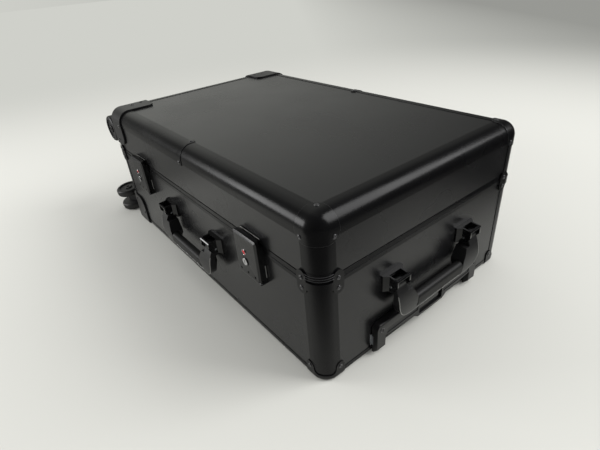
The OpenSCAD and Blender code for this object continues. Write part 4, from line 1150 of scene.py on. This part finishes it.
# Each range below is for a Map Range node: as a place or a direction goes from 1 to 2, the result goes
# from 3 to 4.
# brightness of the room towards BRIGHT_WAY, and of the paper towards its left end
ROOM_LIGHT = {1: -0.1, 2: 0.9, 3: 0.04, 4: 1.0}
LEFT_LIGHT = {1: -0.25, 2: 0.02, 3: 0.3, 4: 1.0}
# share of plain backdrop by the distance from the case, and its brightness along SHADED_WAY
BACKDROP_SHARE = {1: 0.7, 2: 2.2, 3: 0.0, 4: 1.0}
BACKDROP_LIGHT = {1: 0.2, 2: 1.8, 3: 1.0, 4: 0.5}
# what gloss loses of the floor, along X and along Y, where the paper ends left of the case in front
PAST_LEFT = {1: -0.45, 2: -0.29, 3: 0.65, 4: 0.0}
IN_FRONT = {1: -0.2, 2: -0.1, 3: 1.0, 4: 0.0}
# the same where it ends right of the case at the back
PAST_RIGHT = {1: 0.33, 2: 0.42, 3: 0.0, 4: 1.0}
AT_BACK = {1: 0.1, 2: 0.42, 3: 0.0, 4: 1.0}
# the same towards the dark room, along X and along CAMERA_WAY
FAR_RIGHT = {1: 0.42, 2: 0.6, 3: 0.0, 4: 0.85}
TOWARD_CAMERA = {1: 0.38, 2: 0.52, 3: 0.0, 4: 0.85}


class CASE_OT_stage(bpy.types.Operator):
    """Set up the floor, backdrop, light and camera"""

    bl_idname = "trolley_case.stage"
    bl_label = "Stage"

    def execute(self, context):
        scene = context.scene
        colours = scene.case_colours
        scene.view_settings.view_transform = "Standard"
        floor = mesh_from("floor", sheet_floor)
        floor.data.materials.append(paper_finish(colours))
        add_camera(scene)
        add_world(scene, colours.backdrop)
        for lamp in LAMPS:
            add_lamp(scene, *lamp)
        return {"FINISHED"}


def sheet_floor(bm):
    """One square sheet under the case."""
    corners = ((-1, -1), (1, -1), (1, 1), (-1, 1))
    bm.faces.new([bm.verts.new((FLOOR_REACH * x, FLOOR_REACH * y, 0)) for x, y in corners])


def add_camera(scene):
    """The camera looks along its azimuth and down by its pitch, with a small roll."""
    yaw, pitch, roll = map(math.radians, (CAMERA_TURN, CAMERA_PITCH, CAMERA_ROLL))
    ahead = Vector((-math.sin(yaw) * math.cos(pitch), math.cos(yaw) * math.cos(pitch), -math.sin(pitch)))
    right = Vector((math.cos(yaw), math.sin(yaw), 0))
    up = right.cross(ahead)
    rolled_right = right * math.cos(roll) + up * math.sin(roll)
    rolled_up = up * math.cos(roll) - right * math.sin(roll)
    turn = Matrix((rolled_right, rolled_up, -ahead)).transposed().to_4x4()
    camera = bpy.data.cameras.new("camera")
    camera.lens = CAMERA_LENS
    camera.sensor_width = 36
    camera.clip_start = 0.01
    eye = bpy.data.objects.new("camera", camera)
    scene.collection.objects.link(eye)
    eye.matrix_world = Matrix.Translation(Vector(CAMERA_SPOT)) @ turn
    scene.camera = eye


def add_lamp(scene, name, spot, size, power):
    lamp = bpy.data.lights.new(name, "AREA")
    lamp.shape = "RECTANGLE"
    lamp.size, lamp.size_y = size
    lamp.energy = power
    holder = bpy.data.objects.new(name, lamp)
    scene.collection.objects.link(holder)
    holder.visible_camera = False
    holder.location = spot
    holder.rotation_euler = (-Vector(spot)).to_track_quat("-Z", "Y").to_euler()


def add_world(scene, backdrop):
    """An even light on everything, and a shaded room that is only seen, as the backdrop and in gloss."""
    world = bpy.data.worlds.new("studio")
    scene.world = world
    world.use_nodes = True
    tree = world.node_tree
    tree.nodes.clear()
    light = add(tree, "ShaderNodeBackground", {"Color": [1, 1, 1, 1], "Strength": WORLD_LIGHT})
    way = add(tree, "ShaderNodeTexCoord").outputs["Generated"]
    side = add(tree, "ShaderNodeVectorMath", {0: way, 1: BRIGHT_WAY}, operation="DOT_PRODUCT")
    by_side = {0: side.outputs["Value"], **ROOM_LIGHT}
    shade = add(tree, "ShaderNodeMapRange", by_side, interpolation_type="SMOOTHSTEP")
    parts = add(tree, "ShaderNodeSeparateXYZ", {"Vector": way})
    paper = add(tree, "ShaderNodeMapRange", {0: parts.outputs["Y"], **LEFT_LIGHT})
    strength = add(tree, "ShaderNodeMath", {0: shade, 1: paper}, operation="MULTIPLY")
    room = add(tree, "ShaderNodeBackground", {"Color": rgba(backdrop), "Strength": strength})
    mixed = add(tree, "ShaderNodeMixShader", {0: seen_ray(tree), 1: light, 2: room})
    add(tree, "ShaderNodeOutputWorld", {"Surface": mixed})


def seen_ray(tree):
    """One for the rays that show the background: those of the camera, of gloss and of transmission."""
    path = add(tree, "ShaderNodeLightPath").outputs
    either = {0: path["Is Camera Ray"], 1: path["Is Glossy Ray"]}
    either = add(tree, "ShaderNodeMath", either, operation="MAXIMUM")
    return add(tree, "ShaderNodeMath", {0: either, 1: path["Is Transmission Ray"]}, operation="MAXIMUM")


def paper_finish(colours):
    # matte paper: it keeps the case's shadow, and passes into the pale backdrop far from it
    material, tree, shader, place = new_material("studio_paper")
    shader.inputs["Base Color"].default_value = rgba(colours.floor)
    shader.inputs["Roughness"].default_value = 0.9
    far = add(tree, "ShaderNodeVectorMath", {0: place}, operation="LENGTH").outputs["Value"]
    share = add(tree, "ShaderNodeMapRange", {0: far, **BACKDROP_SHARE}, interpolation_type="SMOOTHSTEP")
    share = add(tree, "ShaderNodeMath", {0: share, 1: seen_ray(tree)}, operation="MULTIPLY")
    aside = add(tree, "ShaderNodeVectorMath", {0: place, 1: SHADED_WAY}, operation="DOT_PRODUCT")
    shade = add(tree, "ShaderNodeMapRange", {0: aside.outputs["Value"], **BACKDROP_LIGHT})
    glow = add(tree, "ShaderNodeEmission", {"Color": rgba(colours.backdrop), "Strength": shade})
    paper = add(tree, "ShaderNodeMixShader", {0: share, 1: shader, 2: glow})
    dark = add(tree, "ShaderNodeEmission", {"Strength": 0.0})
    mixed = add(tree, "ShaderNodeMixShader", {0: lost_to_gloss(tree, place), 1: paper, 2: dark})
    output = next(node for node in tree.nodes if node.type == "OUTPUT_MATERIAL")
    tree.links.new(mixed.outputs[0], output.inputs["Surface"])
    return material


def lost_to_gloss(tree, place):
    """How much of the floor gloss doesn't show, where the paper ends and the room is dark."""
    parts = add(tree, "ShaderNodeSeparateXYZ", {"Vector": place}).outputs
    toward = add(tree, "ShaderNodeVectorMath", {0: place, 1: CAMERA_WAY}, operation="DOT_PRODUCT")
    left = add(tree, "ShaderNodeMapRange", {0: parts["X"], **PAST_LEFT})
    front = add(tree, "ShaderNodeMapRange", {0: parts["Y"], **IN_FRONT})
    right = add(tree, "ShaderNodeMapRange", {0: parts["X"], **PAST_RIGHT})
    back = add(tree, "ShaderNodeMapRange", {0: parts["Y"], **AT_BACK})
    lost = add(tree, "ShaderNodeMath", {0: left, 1: front}, operation="MULTIPLY")
    corner = add(tree, "ShaderNodeMath", {0: right, 1: back}, operation="MULTIPLY")
    far_right = add(tree, "ShaderNodeMapRange", {0: parts["X"], **FAR_RIGHT})
    near_camera = add(tree, "ShaderNodeMapRange", {0: toward.outputs["Value"], **TOWARD_CAMERA})
    for other in (corner, far_right, near_camera):
        lost = add(tree, "ShaderNodeMath", {0: lost, 1: other}, operation="MAXIMUM")
    glossy = add(tree, "ShaderNodeLightPath").outputs["Is Glossy Ray"]
    return add(tree, "ShaderNodeMath", {0: lost, 1: glossy}, operation="MULTIPLY")


# ---- panel and run


class CASE_PT_panel(bpy.types.Panel):
    """Lists the pieces of the case"""

    bl_idname = "CASE_PT_panel"
    bl_label = "Trolley case"
    bl_space_type = "VIEW_3D"
    bl_region_type = "UI"
    bl_category = "Trolley case"

    def draw(self, context):
        for operator in OPERATORS:
            self.layout.operator(operator.bl_idname)
        for group in (context.scene.case_sizes, context.scene.case_colours):
            for name in group.__annotations__:
                self.layout.prop(group, name)


OPERATORS = (
    CASE_OT_panels,
    CASE_OT_profiles,
    CASE_OT_corners,
    CASE_OT_guards,
    CASE_OT_rivets,
    CASE_OT_latches,
    CASE_OT_handles,
    CASE_OT_trolley,
    CASE_OT_casters,
    CASE_OT_linings,
    CASE_OT_stage,
)
CLASSES = (CaseColours, CaseSizes) + OPERATORS + (CASE_PT_panel,)


def register():
    for made in CLASSES:
        bpy.utils.register_class(made)
    bpy.types.Scene.case_colours = PointerProperty(type=CaseColours)
    bpy.types.Scene.case_sizes = PointerProperty(type=CaseSizes)


def unregister():
    del bpy.types.Scene.case_sizes
    del bpy.types.Scene.case_colours
    for made in reversed(CLASSES):
        bpy.utils.unregister_class(made)


def main():
    register()
    for operator in OPERATORS:
        group, name = operator.bl_idname.split(".")
        getattr(getattr(bpy.ops, group), name)()


if __name__ == "__main__":
    main()
